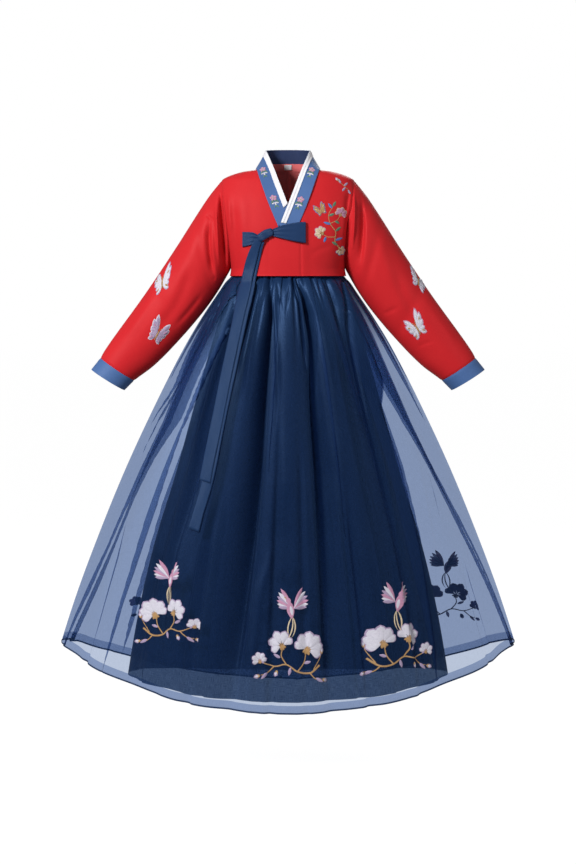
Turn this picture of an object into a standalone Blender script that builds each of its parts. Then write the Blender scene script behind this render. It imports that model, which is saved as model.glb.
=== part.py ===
"""A woman's hanbok, filled out as it is worn but with no wearer: a short red jacket over a long
navy skirt of see-through organza with a darker lining.

Metres, +Z up. The wearer faces -Y, and +X is the wearer's left. The origin is the middle of
the base of the neck, level with the tops of the shoulders.
"""

import math

import bmesh
import bpy
import numpy as np

# Cloth walls and the gaps between them
CLOTH = 0.0012  # the jacket, the collar and the cuffs, with their own linings
THIN = 0.0010  # the skirt, the ribbons and the white strip
BAND = 0.0020  # the waistband
SEAM = 0.0002  # each side of a seam stops this far short of it
BENT_SEAM = 0.0008  # the same where the cloth bends at the seam, as at armholes and shoulders
ARMHOLE_GAP = 0.0015  # the sleeve side of an armhole
SHOULDER_SEAM = 0.0006
SIDE_SEAM = 0.0004  # down the sides of the skirt
STEP = 0.0006  # between cloth and the cloth that lies on it

# How far out from the body's surface the outer face of each layer lies
UNDER_FRONT = 0.0
OVER_FRONT = UNDER_FRONT + STEP + CLOTH
COLLAR_UNDER = UNDER_FRONT + STEP + CLOTH
COLLAR_OVER = COLLAR_UNDER + STEP + CLOTH

# Heights
SHOULDER_TIP_Z = -0.025
UNDERARM_Z = -0.2352
JACKET_HEM_Z = -0.2525
WAIST_Z = -0.2350  # where the skirt is gathered to its band
BAND_TOP_Z = -0.1700

SQUARENESS = 2.5  # of the superellipse that the body's level sections follow
ARMHOLE_HALF_DEPTH = 0.068


def curve(names, *rows):
    """Named columns, read against the first one along smooth curves that never overshoot."""
    data = np.array(sorted(rows), float)
    key, values = data[:, 0], data[:, 1:]
    slopes = np.diff(values, axis=0) / np.diff(key)[:, None]
    before, after = slopes[:-1], slopes[1:]
    tangents = np.vstack([slopes[:1], slopes[-1:]])
    if len(key) > 2:
        same_way = before * after > 0
        middle = np.zeros_like(before)
        middle[same_way] = 2 / (1 / before[same_way] + 1 / after[same_way])
        tangents = np.vstack([slopes[:1], middle, slopes[-1:]])
    fine = np.linspace(key[0], key[-1], 800)
    row = np.clip(np.searchsorted(key, fine, side="right") - 1, 0, len(key) - 2)
    width = (key[row + 1] - key[row])[:, None]
    t = (fine - key[row])[:, None] / width
    smooth = (
        (2 * t**3 - 3 * t**2 + 1) * values[row]
        + (t**3 - 2 * t**2 + t) * width * tangents[row]
        + (3 * t**2 - 2 * t**3) * values[row + 1]
        + (t**3 - t**2) * width * tangents[row + 1]
    )
    columns = {name: smooth[:, i] for i, name in enumerate(names.split())}
    return fine, columns


def read(table, name, at):
    return float(np.interp(at, table[0], table[1][name]))


# Level sections of the body: z | half width | depth in front | depth behind
BODY = curve(
    "half_width front back",
    (0.0520, 0.0490, 0.044, 0.056),
    (0.0360, 0.0580, 0.050, 0.058),
    (0.0200, 0.0655, 0.056, 0.061),
    (0.0050, 0.0716, 0.060, 0.064),
    (0.0000, 0.0770, 0.062, 0.066),
    (-0.0050, 0.1100, 0.065, 0.069),
    (-0.0190, 0.1500, 0.072, 0.075),
    (-0.0250, 0.1580, 0.075, 0.077),
    (-0.0340, 0.1610, 0.079, 0.080),
    (-0.0800, 0.1660, 0.095, 0.088),
    (-0.1500, 0.1700, 0.106, 0.090),
    (-0.2000, 0.1600, 0.108, 0.088),
    (-0.2352, 0.1365, 0.107, 0.087),
    (-0.2525, 0.1385, 0.106, 0.086),
)

# The edge of the front and back at the side: z | x
SIDE_LINE = curve(
    "x",
    (SHOULDER_TIP_Z, 0.1580),
    (UNDERARM_Z, 0.1365),
    (JACKET_HEM_Z, 0.1385),
)

# Half of the collar, from the middle of the back round the neck and down the front:
# distance along | x, y and z of its outer edge | x, y and z of its inner edge
COLLAR = curve(
    "outer_x outer_y outer_z inner_x inner_y inner_z",
    (0.000, 0.0000, 0.0645, 0.0120, 0.0000, 0.0580, 0.0505),
    (0.017, 0.0202, 0.0632, 0.0117, 0.0150, 0.0570, 0.0504),
    (0.034, 0.0385, 0.0585, 0.0110, 0.0285, 0.0525, 0.0500),
    (0.064, 0.0635, 0.0400, 0.0080, 0.0470, 0.0330, 0.0480),
    (0.092, 0.0753, 0.0110, 0.0048, 0.0525, 0.0070, 0.0455),
    (0.109, 0.0768, -0.0100, 0.0030, 0.0500, -0.0090, 0.0420),
    (0.128, 0.0761, -0.0310, 0.0015, 0.0457, -0.0250, 0.0320),
    (0.148, 0.0744, -0.0502, -0.0010, 0.0400, -0.0420, 0.0176),
    (0.171, 0.0700, -0.0676, -0.0130, 0.0324, -0.0582, -0.0010),
    (0.200, 0.0620, -0.0803, -0.0368, 0.0230, -0.0724, -0.0260),
    (0.228, 0.0535, -0.0903, -0.0615, 0.0137, -0.0848, -0.0501),
    (0.254, 0.0452, -0.0970, -0.0835, 0.0044, -0.0941, -0.0739),
    (0.284, 0.0345, -0.1026, -0.1100, -0.0068, -0.1012, -0.1023),
    (0.314, 0.0225, -0.1068, -0.1380, -0.0179, -0.1056, -0.1305),
    (0.335, 0.0150, -0.1085, -0.1575, -0.0254, -0.1073, -0.1495),
)
COLLAR_END = 0.335
COLLAR_PLACES = (  # distances along it that its columns start from, each gap halved once
    0.0, 0.034, 0.064, 0.092, 0.109, 0.128, 0.148, 0.171, 0.200, 0.228, 0.254, 0.284, 0.314,
)
COLLAR_ACROSS = (1.0, 0.85, 0.70, 0.35, 0.0)  # shares of its width, from the inner edge
STRIP_ACROSS = COLLAR_ACROSS[:3]  # the white strip covers this much of it
UNDER_COLLAR_END = (0.2970, 0.2995, 0.3020, 0.3075, 0.3130)  # the lower end stops here
UNDER_STRIP_END = (0.2630, 0.2705, 0.2780)  # and its strip beside the upper end
OVER_STRIP_END = 0.311
NEAREST_TO_END = 0.005  # no column lies closer to an end
NECKLINE_ACROSS = 0.13  # the fronts and backs reach this far under the collar
NECK_SIDE_ALONG = 0.103  # where the shoulder seams meet it

# The fronts: the seam of the overlap panel, its free edge, and the edge hidden under it
OVERLAP_SEAM_X = 0.0310
OVERLAP_SEAM_ALONG = 0.281  # where that seam meets the collar
OVERLAP_TOP = (-0.0440, -0.1560)  # x and z
OVERLAP_HEM_X = -0.0490
HIDDEN_EDGE_X = -0.0150
HIDDEN_EDGE_DROP = 0.004  # its top lies this far below the collar's end
SIDE_X_HEM = 0.1385

# The sleeve's upper and lower lines, as shares of their lengths: share | x | z
SLEEVE_UPPER = curve(
    "x z",
    (0.00, 0.1580, -0.0250),
    (0.07, 0.1880, -0.0624),
    (0.17, 0.2170, -0.1056),
    (0.34, 0.2630, -0.1776),
    (0.59, 0.3370, -0.2880),
    (0.93, 0.4404, -0.4320),
    (1.00, 0.4500, -0.4480),
    (1.08, 0.4720, -0.4760),
)
SLEEVE_LOWER = curve(
    "x z",
    (0.00, 0.1365, -0.2352),
    (0.14, 0.1640, -0.2830),
    (0.29, 0.1920, -0.3240),
    (0.55, 0.2520, -0.3960),
    (0.83, 0.3228, -0.4680),
    (1.00, 0.3690, -0.5030),
    (1.08, 0.3925, -0.5260),
)
SLEEVE_DEPTH = curve("half", (0.0, 0.068), (0.3, 0.062), (1.0, 0.042), (1.08, 0.041))
SLEEVE_SHARES = (0.0, 0.05, 0.11, 0.18, 0.27, 0.38, 0.50, 0.63, 0.76, 0.88, 1.0)
CUFF_SHARES = (1.0, 1.04, 1.08)
SLEEVE_AROUND = 20  # points round a sleeve
# Creases round the sleeve: share along it | share of its length it is wide | depth
SLEEVE_CREASES = ((0.075, 0.030, 0.0035), (0.20, 0.035, 0.0025), (0.56, 0.040, 0.0025))

# The skirt's outer outline down its ridges: z | half width | half depth | middle's y
ORGANZA = curve(
    "half_width half_depth middle",
    (-0.2350, 0.1290, 0.0870, -0.010),
    (-0.2525, 0.1355, 0.0915, -0.010),
    (-0.2680, 0.1500, 0.1020, -0.010),
    (-0.2859, 0.1620, 0.1100, -0.010),
    (-0.3577, 0.2100, 0.1280, -0.009),
    (-0.4296, 0.2520, 0.1430, -0.008),
    (-0.5739, 0.3252, 0.1680, -0.006),
    (-0.7186, 0.3924, 0.1900, -0.004),
    (-0.8639, 0.4524, 0.2080, -0.002),
    (-1.0097, 0.5076, 0.2240, 0.000),
    (-1.1340, 0.5484, 0.2360, 0.000),
    (-1.2750, 0.5900, 0.2480, 0.000),
)
LINING = curve(
    "half_width half_depth middle",
    (-0.2350, 0.1213, 0.0793, -0.010),
    (-0.2525, 0.1262, 0.0822, -0.010),
    (-0.2680, 0.1340, 0.0900, -0.010),
    (-0.2859, 0.1420, 0.0970, -0.010),
    (-0.3577, 0.1640, 0.1140, -0.009),
    (-0.4296, 0.1870, 0.1290, -0.008),
    (-0.5739, 0.2280, 0.1540, -0.006),
    (-0.7330, 0.2720, 0.1770, -0.004),
    (-0.8880, 0.3200, 0.1960, -0.002),
    (-1.0550, 0.3600, 0.2140, 0.000),
    (-1.2155, 0.3880, 0.2280, 0.000),
    (-1.2500, 0.3930, 0.2310, 0.000),
)
# The hems rise at the sides: z at the middle of the front and back, and at the sides
ORGANZA_HEM = (-1.2660, -1.1320)
LINING_HEM = (-1.2430, -1.2120)
SKIRT_ROWS = (0.0, 0.018, 0.034, 0.055, 0.09, 0.15, 0.25, 0.40, 0.60, 0.80, 1.0)
LINING_ROWS = (0.0, 0.018, 0.034, 0.055, 0.09, 0.15, 0.28, 0.50, 0.75, 1.0)
SKIRT_COLUMNS = 72  # of the front or back
EVEN_Z = -0.8639  # the columns are equally far apart at this height
LINING_COLUMNS = 40

# Small gathers at the waist: their number on the front or back, and z | depth
GATHERS = 18
FLAT_COLUMNS = 4  # beside a side seam, the gathers flatten over this many columns
GATHER_DEPTH = curve(
    "depth", (-1.30, 0.0), (-0.52, 0.0), (-0.40, 0.003), (-0.285, 0.0065), (-0.235, 0.0060)
)
# Broad folds: how deep the deepest is at each z, and each valley's bearing in degrees, half
# width in degrees, share of the depth, and how far below the waist it starts
FOLD_DEPTH = curve(
    "depth", (-1.30, 0.014), (-1.10, 0.017), (-0.60, 0.018), (-0.36, 0.010), (-0.25, 0.0)
)
FOLD_VALLEYS = (
    (-67, 8.0, 0.60, 0.06),
    (-40, 9.5, 1.00, 0.02),
    (-12, 6.5, 0.90, 0.00),
    (-1, 3.5, 0.40, 0.50),
    (13, 7.5, 0.95, 0.00),
    (41, 9.0, 1.00, 0.02),
    (69, 8.5, 0.60, 0.08),
    (112, 8.0, 0.65, 0.03),
    (136, 9.0, 0.95, 0.00),
    (158, 6.5, 0.85, 0.05),
    (178, 7.5, 1.00, 0.00),
    (-157, 6.0, 0.75, 0.10),
    (-135, 9.5, 1.00, 0.00),
    (-109, 8.0, 0.60, 0.05),
)

# The ribbon tails: z | middle's x | width | lift off the jacket or the skirt
TAIL_FRONT = curve(
    "x width lift",
    (-0.1690, -0.0690, 0.0190, 0.0100),
    (-0.1850, -0.0770, 0.0210, 0.0080),
    (-0.2150, -0.0863, 0.0255, 0.0056),
    (-0.2501, -0.0950, 0.0260, 0.0054),
    (-0.3038, -0.1069, 0.0290, 0.0054),
    (-0.3563, -0.1180, 0.0260, 0.0052),
    (-0.4831, -0.1447, 0.0260, 0.0048),
    (-0.6000, -0.1680, 0.0270, 0.0048),
    (-0.7270, -0.1939, 0.0250, 0.0048),
)
TAIL_REAR = curve(
    "x width lift",
    (-0.1720, -0.0620, 0.0150, 0.0070),
    (-0.1850, -0.0680, 0.0180, 0.0055),
    (-0.2150, -0.0780, 0.0240, 0.0026),
    (-0.2501, -0.0870, 0.0260, 0.0024),
    (-0.3038, -0.0985, 0.0290, 0.0024),
    (-0.3563, -0.1100, 0.0270, 0.0024),
    (-0.4831, -0.1370, 0.0270, 0.0024),
    (-0.6000, -0.1620, 0.0270, 0.0024),
    (-0.7270, -0.1870, 0.0260, 0.0024),
    (-0.8400, -0.2205, 0.0240, 0.0024),
)
TAIL_FRONT_ROWS = (
    -0.169, -0.177, -0.185, -0.200, -0.215, -0.232, -0.2525, -0.270, -0.287, -0.304, -0.330,
    -0.356, -0.420, -0.483, -0.550, -0.600, -0.660, -0.727,
)
TAIL_REAR_ROWS = (
    -0.172, -0.178, -0.185, -0.200, -0.215, -0.232, -0.2525, -0.270, -0.287, -0.304, -0.330,
    -0.356, -0.420, -0.483, -0.550, -0.600, -0.660, -0.727, -0.785, -0.840,
)
TAIL_SLANT = 0.008  # the lower corner of a tail's end hangs this much lower

# The bow's loops: distance along it, from knot to fold | middle x | z of its edges | puff
LONG_LOOP = curve(
    "x top bottom puff",
    (0.0, -0.0352, -0.1435, -0.1590, 0.0030),
    (0.3, -0.0130, -0.1350, -0.1650, 0.0050),
    (0.7, 0.0170, -0.1290, -0.1720, 0.0060),
    (1.0, 0.0390, -0.1270, -0.1755, 0.0050),
)
SHORT_LOOP = curve(
    "x top bottom puff",
    (0.0, -0.0710, -0.1560, -0.1740, 0.0020),
    (0.4, -0.0840, -0.1500, -0.1790, 0.0035),
    (1.0, -0.1050, -0.1490, -0.1840, 0.0030),
)
LONG_LOOP_LIFT = COLLAR_OVER + STEP
SHORT_LOOP_LIFT = UNDER_FRONT + STEP

KNOT_MIDDLE = (-0.0520, -0.1560)  # x and z
KNOT_HALF = (0.0180, 0.0060, 0.0095)  # half its length, depth and height
KNOT_BLUNTNESS = 0.75
KNOT_TILT = math.radians(28)

LABEL_HALF_WIDTH = 0.009
LABEL_TOP_Z = 0.0150
LABEL_BOTTOM_Z = 0.0030

COLOURS = {  # linear red, green and blue | roughness
    "red": ((0.58, 0.032, 0.043), 0.5),
    "blue": ((0.075, 0.155, 0.38), 0.5),
    "navy": ((0.018, 0.045, 0.12), 0.45),
    "organza": ((0.020, 0.060, 0.17), 0.4),
    "ribbon": ((0.03, 0.072, 0.18), 0.45),
    "white": ((0.82, 0.82, 0.86), 0.6),
}


# Surfaces


def eased(share):
    """The share held between 0 and 1, with soft ends."""
    share = min(max(share, 0.0), 1.0)
    return share * share * (3 - 2 * share)


def body_width(z):
    """Half width of the level section at z, made to pass through the armhole's edge."""
    if not UNDERARM_Z < z < SHOULDER_TIP_Z:
        return read(BODY, "half_width", z)
    share = min(armhole_depth(z) / body_depth(z, False), 0.95)
    return read(SIDE_LINE, "x", z) / (1 - share**SQUARENESS) ** (1 / SQUARENESS)


def body_depth(z, behind):
    return read(BODY, "back" if behind else "front", z)


def armhole_depth(z):
    middle = (SHOULDER_TIP_Z + UNDERARM_Z) / 2
    half = (SHOULDER_TIP_Z - UNDERARM_Z) / 2
    return ARMHOLE_HALF_DEPTH * math.sqrt(max(0.0, 1 - ((z - middle) / half) ** 2))


def body_value(point):
    """1 on the body's surface, and more outside it."""
    x, y, z = point
    share_x = abs(x) / body_width(z)
    share_y = abs(y) / body_depth(z, y > 0)
    return share_x**SQUARENESS + share_y**SQUARENESS


def lifted(point, lift):
    """The point moved out from the body's surface along its normal."""
    if lift == 0:
        return point
    point = np.array(point, float)
    step = 0.0008
    slope = np.array(
        [body_value(point + step * axis) - body_value(point - step * axis) for axis in np.eye(3)]
    )
    return point + slope / np.linalg.norm(slope) * lift


def body_at_x(x, z, behind=False, lift=0.0):
    """The point of the front or back at x and z."""
    share = min(abs(x) / body_width(z), 1.0)
    y = body_depth(z, behind) * (1 - share**SQUARENESS) ** (1 / SQUARENESS)
    return lifted((x, y if behind else -y, z), lift)


def body_at_bearing(bearing, z, lift=0.0):
    """The point at a bearing in degrees, from 0 in front through +90 at the wearer's left."""
    sine, cosine = math.sin(math.radians(bearing)), math.cos(math.radians(bearing))
    power = 2 / SQUARENESS
    x = math.copysign(body_width(z) * abs(sine) ** power, sine)
    y = -math.copysign(body_depth(z, cosine < 0) * abs(cosine) ** power, cosine)
    return lifted((x, y, z), lift)


def fold_share(bearing, z):
    """How deep the broad folds are at a bearing, from 0 on a ridge to 1 in a full valley."""
    total = 0.0
    for middle, half_width, share, start in FOLD_VALLEYS:
        off = (bearing - middle + 180) % 360 - 180
        grown = min(max((WAIST_Z - start - z) / 0.12, 0.0), 1.0)
        total += share * grown * math.exp(-((off / half_width) ** 2))
    return min(total, 1.0)


def skirt_point(outline, bearing, z, gather=0.0, folded=True, lift=0.0):
    """A point of a skirt layer. The broad folds of both layers lie one inside the other."""
    angle = math.radians(bearing)
    middle = read(outline, "middle", z)
    x = read(outline, "half_width", z) * math.sin(angle)
    y = -read(outline, "half_depth", z) * math.cos(angle)
    outer_bearing = math.degrees(
        math.atan2(x / read(ORGANZA, "half_width", z), -y / read(ORGANZA, "half_depth", z))
    )
    depth = gather * read(GATHER_DEPTH, "depth", z) - lift
    if folded:
        depth += read(FOLD_DEPTH, "depth", z) * fold_share(outer_bearing, z)
    shrink = 1 - depth / math.hypot(x, y)
    return (x * shrink, y * shrink + middle, z)


def hem_z(hem, bearing):
    middle, side = hem
    return middle + (side - middle) * math.sin(math.radians(bearing)) ** 2


# Meshes


def make_material(slot):
    colour, roughness = COLOURS[slot]
    material = bpy.data.materials.new(slot)
    material.use_nodes = True
    shader = material.node_tree.nodes["Principled BSDF"]
    shader.inputs["Base Color"].default_value = (*colour, 1.0)
    shader.inputs["Roughness"].default_value = roughness
    return material


def drawn_in(grid, left=0.0, right=0.0, top=0.0, bottom=0.0):
    """The grid with its edges moved in, to leave the gap of a seam."""
    grid = np.array(grid, float)
    for edge, inside, gap in ((0, 1, left), (-1, -2, right)):
        way = grid[:, inside] - grid[:, edge]
        grid[:, edge] += way / np.linalg.norm(way, axis=1)[:, None] * gap
    for edge, inside, gap in ((0, 1, top), (-1, -2, bottom)):
        way = grid[inside] - grid[edge]
        grid[edge] += way / np.linalg.norm(way, axis=1)[:, None] * gap
    return grid


def add_cloth(parts, name, grid, slot, wall, round_about=False):
    """A wall of cloth. The grid is its outer face: rows from the top down, each running from
    left to right as seen from outside. The wall's thickness lies behind it."""
    rows, columns = len(grid), len(grid[0])
    points = [tuple(point) for row in grid for point in row]
    last = columns if round_about else columns - 1
    faces = []
    for r in range(rows - 1):
        for c in range(last):
            after = (c + 1) % columns
            faces.append(
                (r * columns + c, (r + 1) * columns + c, (r + 1) * columns + after, r * columns + after)
            )
    mesh = bpy.data.meshes.new(name)
    mesh.from_pydata(points, [], faces)
    mesh.shade_smooth()
    mesh.materials.append(make_material(slot))
    cloth = bpy.data.objects.new(name, mesh)
    parts.objects.link(cloth)
    solid = cloth.modifiers.new("Wall", "SOLIDIFY")
    solid.thickness = wall
    solid.offset = -1.0
    solid.use_even_offset = True
    solid.use_quality_normals = True
    return cloth


def mirrored(grid):
    """The grid on the wearer's other side, with its columns turned to run the same way."""
    return np.array(grid)[:, ::-1] * (-1, 1, 1)


# The jacket


def side_rows():
    """Shares of the way from a shoulder or neckline to the hem: close near the shoulder."""
    armhole = (SHOULDER_TIP_Z - UNDERARM_Z) / (SHOULDER_TIP_Z - JACKET_HEM_Z)
    steps = 8
    shares = [armhole * (1 - math.cos(math.pi * k / steps)) / 2 for k in range(steps + 1)]
    return [*shares, 1.0]


def neckline(along):
    """The point (x, z) of the jacket's upper edge, just under the collar's outer edge."""
    x, y, z = collar_point(along, NECKLINE_ACROSS)
    power = SQUARENESS / 2
    ahead = (abs(y) / body_depth(z, y > 0)) ** power
    bearing = math.degrees(math.atan2((x / body_width(z)) ** power, math.copysign(ahead, -y)))
    return body_at_bearing(bearing, z)[0], z


def panel(top_points, bottom_xs, behind, lift_at):
    """Columns of a front or back, from each point (x, z) of its upper edge down to the hem."""
    shares = side_rows()
    columns = []
    for (top_x, top_z), bottom_x in zip(top_points, bottom_xs):
        # A column's place is a share of the way from the middle to the side's edge
        top = top_x / read(SIDE_LINE, "x", top_z)
        bottom = bottom_x / read(SIDE_LINE, "x", JACKET_HEM_Z)
        column = []
        for share in shares:
            z = top_z + (JACKET_HEM_Z - top_z) * share
            x = (top + (bottom - top) * share) * read(SIDE_LINE, "x", z)
            column.append(body_at_x(x, z, behind, lift_at(x, z)))
        columns.append(column)
    return np.array(columns).transpose(1, 0, 2)


def shoulder_line():
    """Points (x, z) of the shoulder seam, from beside the neck to the shoulder's tip."""
    return [(body_width(z), z) for z in (0.0, -0.0025, -0.0065, -0.0125, SHOULDER_TIP_Z)]


def hem_line(start_x, count, behind=False):
    """The x of points equally far apart along the jacket's hem, from start_x to the side."""
    xs = SIDE_X_HEM - (SIDE_X_HEM - start_x) * np.linspace(1, 0, 400) ** 2
    points = np.array([body_at_x(x, JACKET_HEM_Z, behind) for x in xs])
    along = np.concatenate([[0], np.cumsum(np.linalg.norm(np.diff(points, axis=0), axis=1))])
    return np.interp(np.linspace(0, along[-1], count), along, xs)


def upper_edge(start, end, steps):
    """Points (x, z) of the jacket's upper edge between two distances along the collar."""
    return [neckline(start + (end - start) * k / steps) for k in range(steps + 1)]


def over_front_lift(x, z):
    """The left front rises from the side towards the overlap, to pass over the right front."""
    return UNDER_FRONT + (OVER_FRONT - UNDER_FRONT) * eased((0.056 - x) / 0.022)


def add_jacket_body(parts):
    # The left front: from the overlap panel's seam to the side
    neck = upper_edge(OVERLAP_SEAM_ALONG, NECK_SIDE_ALONG, 7)
    neck[0] = (OVERLAP_SEAM_X, neck[0][1])
    top = neck + shoulder_line()
    hem = hem_line(OVERLAP_SEAM_X, len(top))
    left = panel(top, hem, False, over_front_lift)
    left = drawn_in(left, left=SEAM, right=BENT_SEAM, top=SHOULDER_SEAM)
    add_cloth(parts, "body_front_left", left, "red", CLOTH)

    # The overlap panel: from its free edge to the seam
    neck_end = neck[0]
    shares = np.linspace(0, 1, 7)
    top = [
        (
            OVERLAP_TOP[0] + (neck_end[0] - OVERLAP_TOP[0]) * share,
            OVERLAP_TOP[1] + (neck_end[1] - OVERLAP_TOP[1]) * share,
        )
        for share in shares
    ]
    hem = OVERLAP_HEM_X + (OVERLAP_SEAM_X - OVERLAP_HEM_X) * shares
    overlap = panel(top, hem, False, lambda x, z: OVER_FRONT)
    add_cloth(parts, "overlap_panel", drawn_in(overlap, right=SEAM), "red", CLOTH)

    # The right front: from the side to its hidden edge under the overlap
    neck = upper_edge(COLLAR_END, NECK_SIDE_ALONG, 8)
    top = [(HIDDEN_EDGE_X, neck[0][1] - HIDDEN_EDGE_DROP), *neck, *shoulder_line()]
    hem = hem_line(HIDDEN_EDGE_X, len(top))
    right = panel(top, hem, False, lambda x, z: UNDER_FRONT)
    right = drawn_in(mirrored(right), left=BENT_SEAM, top=SHOULDER_SEAM)
    add_cloth(parts, "body_front_right", right, "red", CLOTH)

    # The back, in two halves with a seam down the middle
    neck = upper_edge(0.0, NECK_SIDE_ALONG, 6)
    top = neck + shoulder_line()
    hem = hem_line(0.0, len(top), True)
    half = panel(top, hem, True, lambda x, z: UNDER_FRONT)
    wearers_left = drawn_in(half[:, ::-1], left=BENT_SEAM, right=SEAM, top=SHOULDER_SEAM)
    add_cloth(parts, "body_back_left", wearers_left, "red", CLOTH)
    add_cloth(parts, "body_back_right", mirrored(wearers_left), "red", CLOTH)


def sleeve_section(share):
    """A closed section of the wearer's left sleeve, from its top round by the back."""
    upper = np.array([read(SLEEVE_UPPER, "x", share), 0, read(SLEEVE_UPPER, "z", share)])
    lower = np.array([read(SLEEVE_LOWER, "x", share), 0, read(SLEEVE_LOWER, "z", share)])
    middle, half = (upper + lower) / 2, (upper - lower) / 2
    pinch = sum(
        depth * math.exp(-(((share - at) / width) ** 2)) for at, width, depth in SLEEVE_CREASES
    )
    half_depth = read(SLEEVE_DEPTH, "half", share) - pinch
    section = []
    for k in range(SLEEVE_AROUND):
        angle = 2 * math.pi * k / SLEEVE_AROUND
        section.append(
            middle + half * math.cos(angle) + np.array([0, half_depth * math.sin(angle), 0])
        )
    return section


def add_sleeves(parts):
    for name, shares, slot, first_gap in (
        ("sleeve", SLEEVE_SHARES, "red", ARMHOLE_GAP),
        ("cuff", CUFF_SHARES, "blue", SEAM),
    ):
        sections = [sleeve_section(share) for share in shares]
        grid = drawn_in(sections, top=first_gap, bottom=SEAM)
        add_cloth(parts, name + "_left", grid, slot, CLOTH, round_about=True)
        add_cloth(parts, name + "_right", mirrored(grid), slot, CLOTH, round_about=True)


def collar_point(along, across, lift=0.0):
    """A point of the collar. Negative distances along it are on the wearer's right."""
    place = min(abs(along), COLLAR_END)
    outer, inner = (
        np.array([read(COLLAR, edge + axis, place) for axis in ("_x", "_y", "_z")])
        for edge in ("outer", "inner")
    )
    point = outer + (inner - outer) * across
    if lift:
        step = 0.002
        start, end = max(place - step, 0), min(place + step, COLLAR_END)
        way = collar_point(end, across) - collar_point(start, across)
        if start == 0:
            way = np.array([1.0, 0, 0])
        normal = np.cross(inner - outer, way)
        point = point + normal / np.linalg.norm(normal) * lift
    return point * (-1, 1, 1) if along < 0 else point


def collar_rise(along):
    """How much higher the left end of the collar lies, to pass over the right end."""
    return (COLLAR_OVER - COLLAR_UNDER) * eased((along - 0.155) / 0.055)


def collar_grid(shares, lift, ends):
    """The collar's points, with an end on the right for each share of its width."""
    middles = [(a + b) / 2 for a, b in zip(COLLAR_PLACES, COLLAR_PLACES[1:])]
    right_end, left_end = ends
    half = sorted([*COLLAR_PLACES, *middles])
    inside = [-p for p in reversed(half) if 0 < p < min(right_end) - NEAREST_TO_END]
    inside += [p for p in half if p < left_end - NEAREST_TO_END]
    return [
        [
            collar_point(place, across, lift + collar_rise(place))
            for place in (left_end, *reversed(inside), -end)
        ]
        for across, end in zip(shares, right_end)
    ]


def add_collar(parts):
    whole = collar_grid(COLLAR_ACROSS, 0.0, (UNDER_COLLAR_END, COLLAR_END))
    add_cloth(parts, "collar", whole, "blue", CLOTH)
    strip = collar_grid(STRIP_ACROSS, STEP + THIN, (UNDER_STRIP_END, OVER_STRIP_END))
    add_cloth(parts, "collar_strip", strip, "white", THIN)


def add_label(parts):
    inside = -(CLOTH + STEP)
    grid = [
        [body_at_x(x, z, True, inside) for x in (LABEL_HALF_WIDTH, 0.0, -LABEL_HALF_WIDTH)]
        for z in (LABEL_TOP_Z, (LABEL_TOP_Z + LABEL_BOTTOM_Z) / 2, LABEL_BOTTOM_Z)
    ]
    add_cloth(parts, "neck_label", grid, "white", THIN)


# The bow


def front_y(x, z, lift):
    """The front of the jacket or, below its hem, of the skirt's ridges."""
    jacket = body_at_x(x, max(z, JACKET_HEM_Z), False, lift)[1]
    if z > JACKET_HEM_Z:
        return jacket
    bearing = math.degrees(math.asin(x / read(ORGANZA, "half_width", z)))
    skirt = skirt_point(ORGANZA, bearing, z, folded=False, lift=lift)[1]
    return min(skirt, jacket)


def tail(table, heights):
    grid = []
    for z in heights:
        x, width, lift = (read(table, name, z) for name in ("x", "width", "lift"))
        slant = TAIL_SLANT if z == heights[-1] else 0
        line = []
        for across in (-0.5, -0.25, 0.0, 0.25, 0.5):
            point_x, point_z = x + across * width, z - slant * (across + 0.5)
            line.append((point_x, front_y(point_x, point_z, lift), point_z))
        grid.append(line)
    return grid


def loop(table, lift, steps, towards):
    """A flat loop of ribbon: out from the knot behind, round its fold and back in front."""
    bend = 4
    grid = []
    for edge in np.linspace(0, 1, 4):
        line = []
        for k in range(steps + 1):
            share = k / steps
            line.append(loop_point(table, share, edge, lift))
        for k in range(1, bend):
            angle = math.pi * k / bend
            puff = read(table, "puff", 1.0)
            out = loop_point(table, 1.0, edge, lift + puff / 2 * (1 - math.cos(angle)))
            line.append(out + np.array([towards * puff / 2 * math.sin(angle), 0, 0]))
        for k in range(steps, -1, -1):
            share = k / steps
            line.append(loop_point(table, share, edge, lift + read(table, "puff", share)))
        grid.append(line[::-towards])
    return grid


def loop_point(table, share, edge, lift):
    top, bottom = read(table, "top", share), read(table, "bottom", share)
    return body_at_x(read(table, "x", share), top + (bottom - top) * edge, False, lift)


def add_bow(parts):
    add_cloth(parts, "bow_loop", loop(LONG_LOOP, LONG_LOOP_LIFT, 5, 1), "ribbon", THIN)
    add_cloth(parts, "bow_short_loop", loop(SHORT_LOOP, SHORT_LOOP_LIFT, 4, -1), "ribbon", THIN)
    add_cloth(parts, "ribbon_tail_front", tail(TAIL_FRONT, TAIL_FRONT_ROWS), "ribbon", THIN)
    add_cloth(parts, "ribbon_tail_rear", tail(TAIL_REAR, TAIL_REAR_ROWS), "ribbon", THIN)

    mesh = bpy.data.meshes.new("bow_knot")
    shape = bmesh.new()
    bmesh.ops.create_uvsphere(shape, u_segments=14, v_segments=8, radius=1.0)
    for vertex in shape.verts:
        blunt = [math.copysign(abs(share) ** KNOT_BLUNTNESS, share) for share in vertex.co]
        vertex.co = [share * half for share, half in zip(blunt, KNOT_HALF)]
    shape.to_mesh(mesh)
    shape.free()
    mesh.shade_smooth()
    mesh.materials.append(make_material("ribbon"))
    knot = bpy.data.objects.new("bow_knot", mesh)
    knot.location = body_at_x(*KNOT_MIDDLE, False, OVER_FRONT + STEP + KNOT_HALF[1])
    knot.rotation_euler = (0, -KNOT_TILT, 0)
    parts.objects.link(knot)


# The skirt


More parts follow.
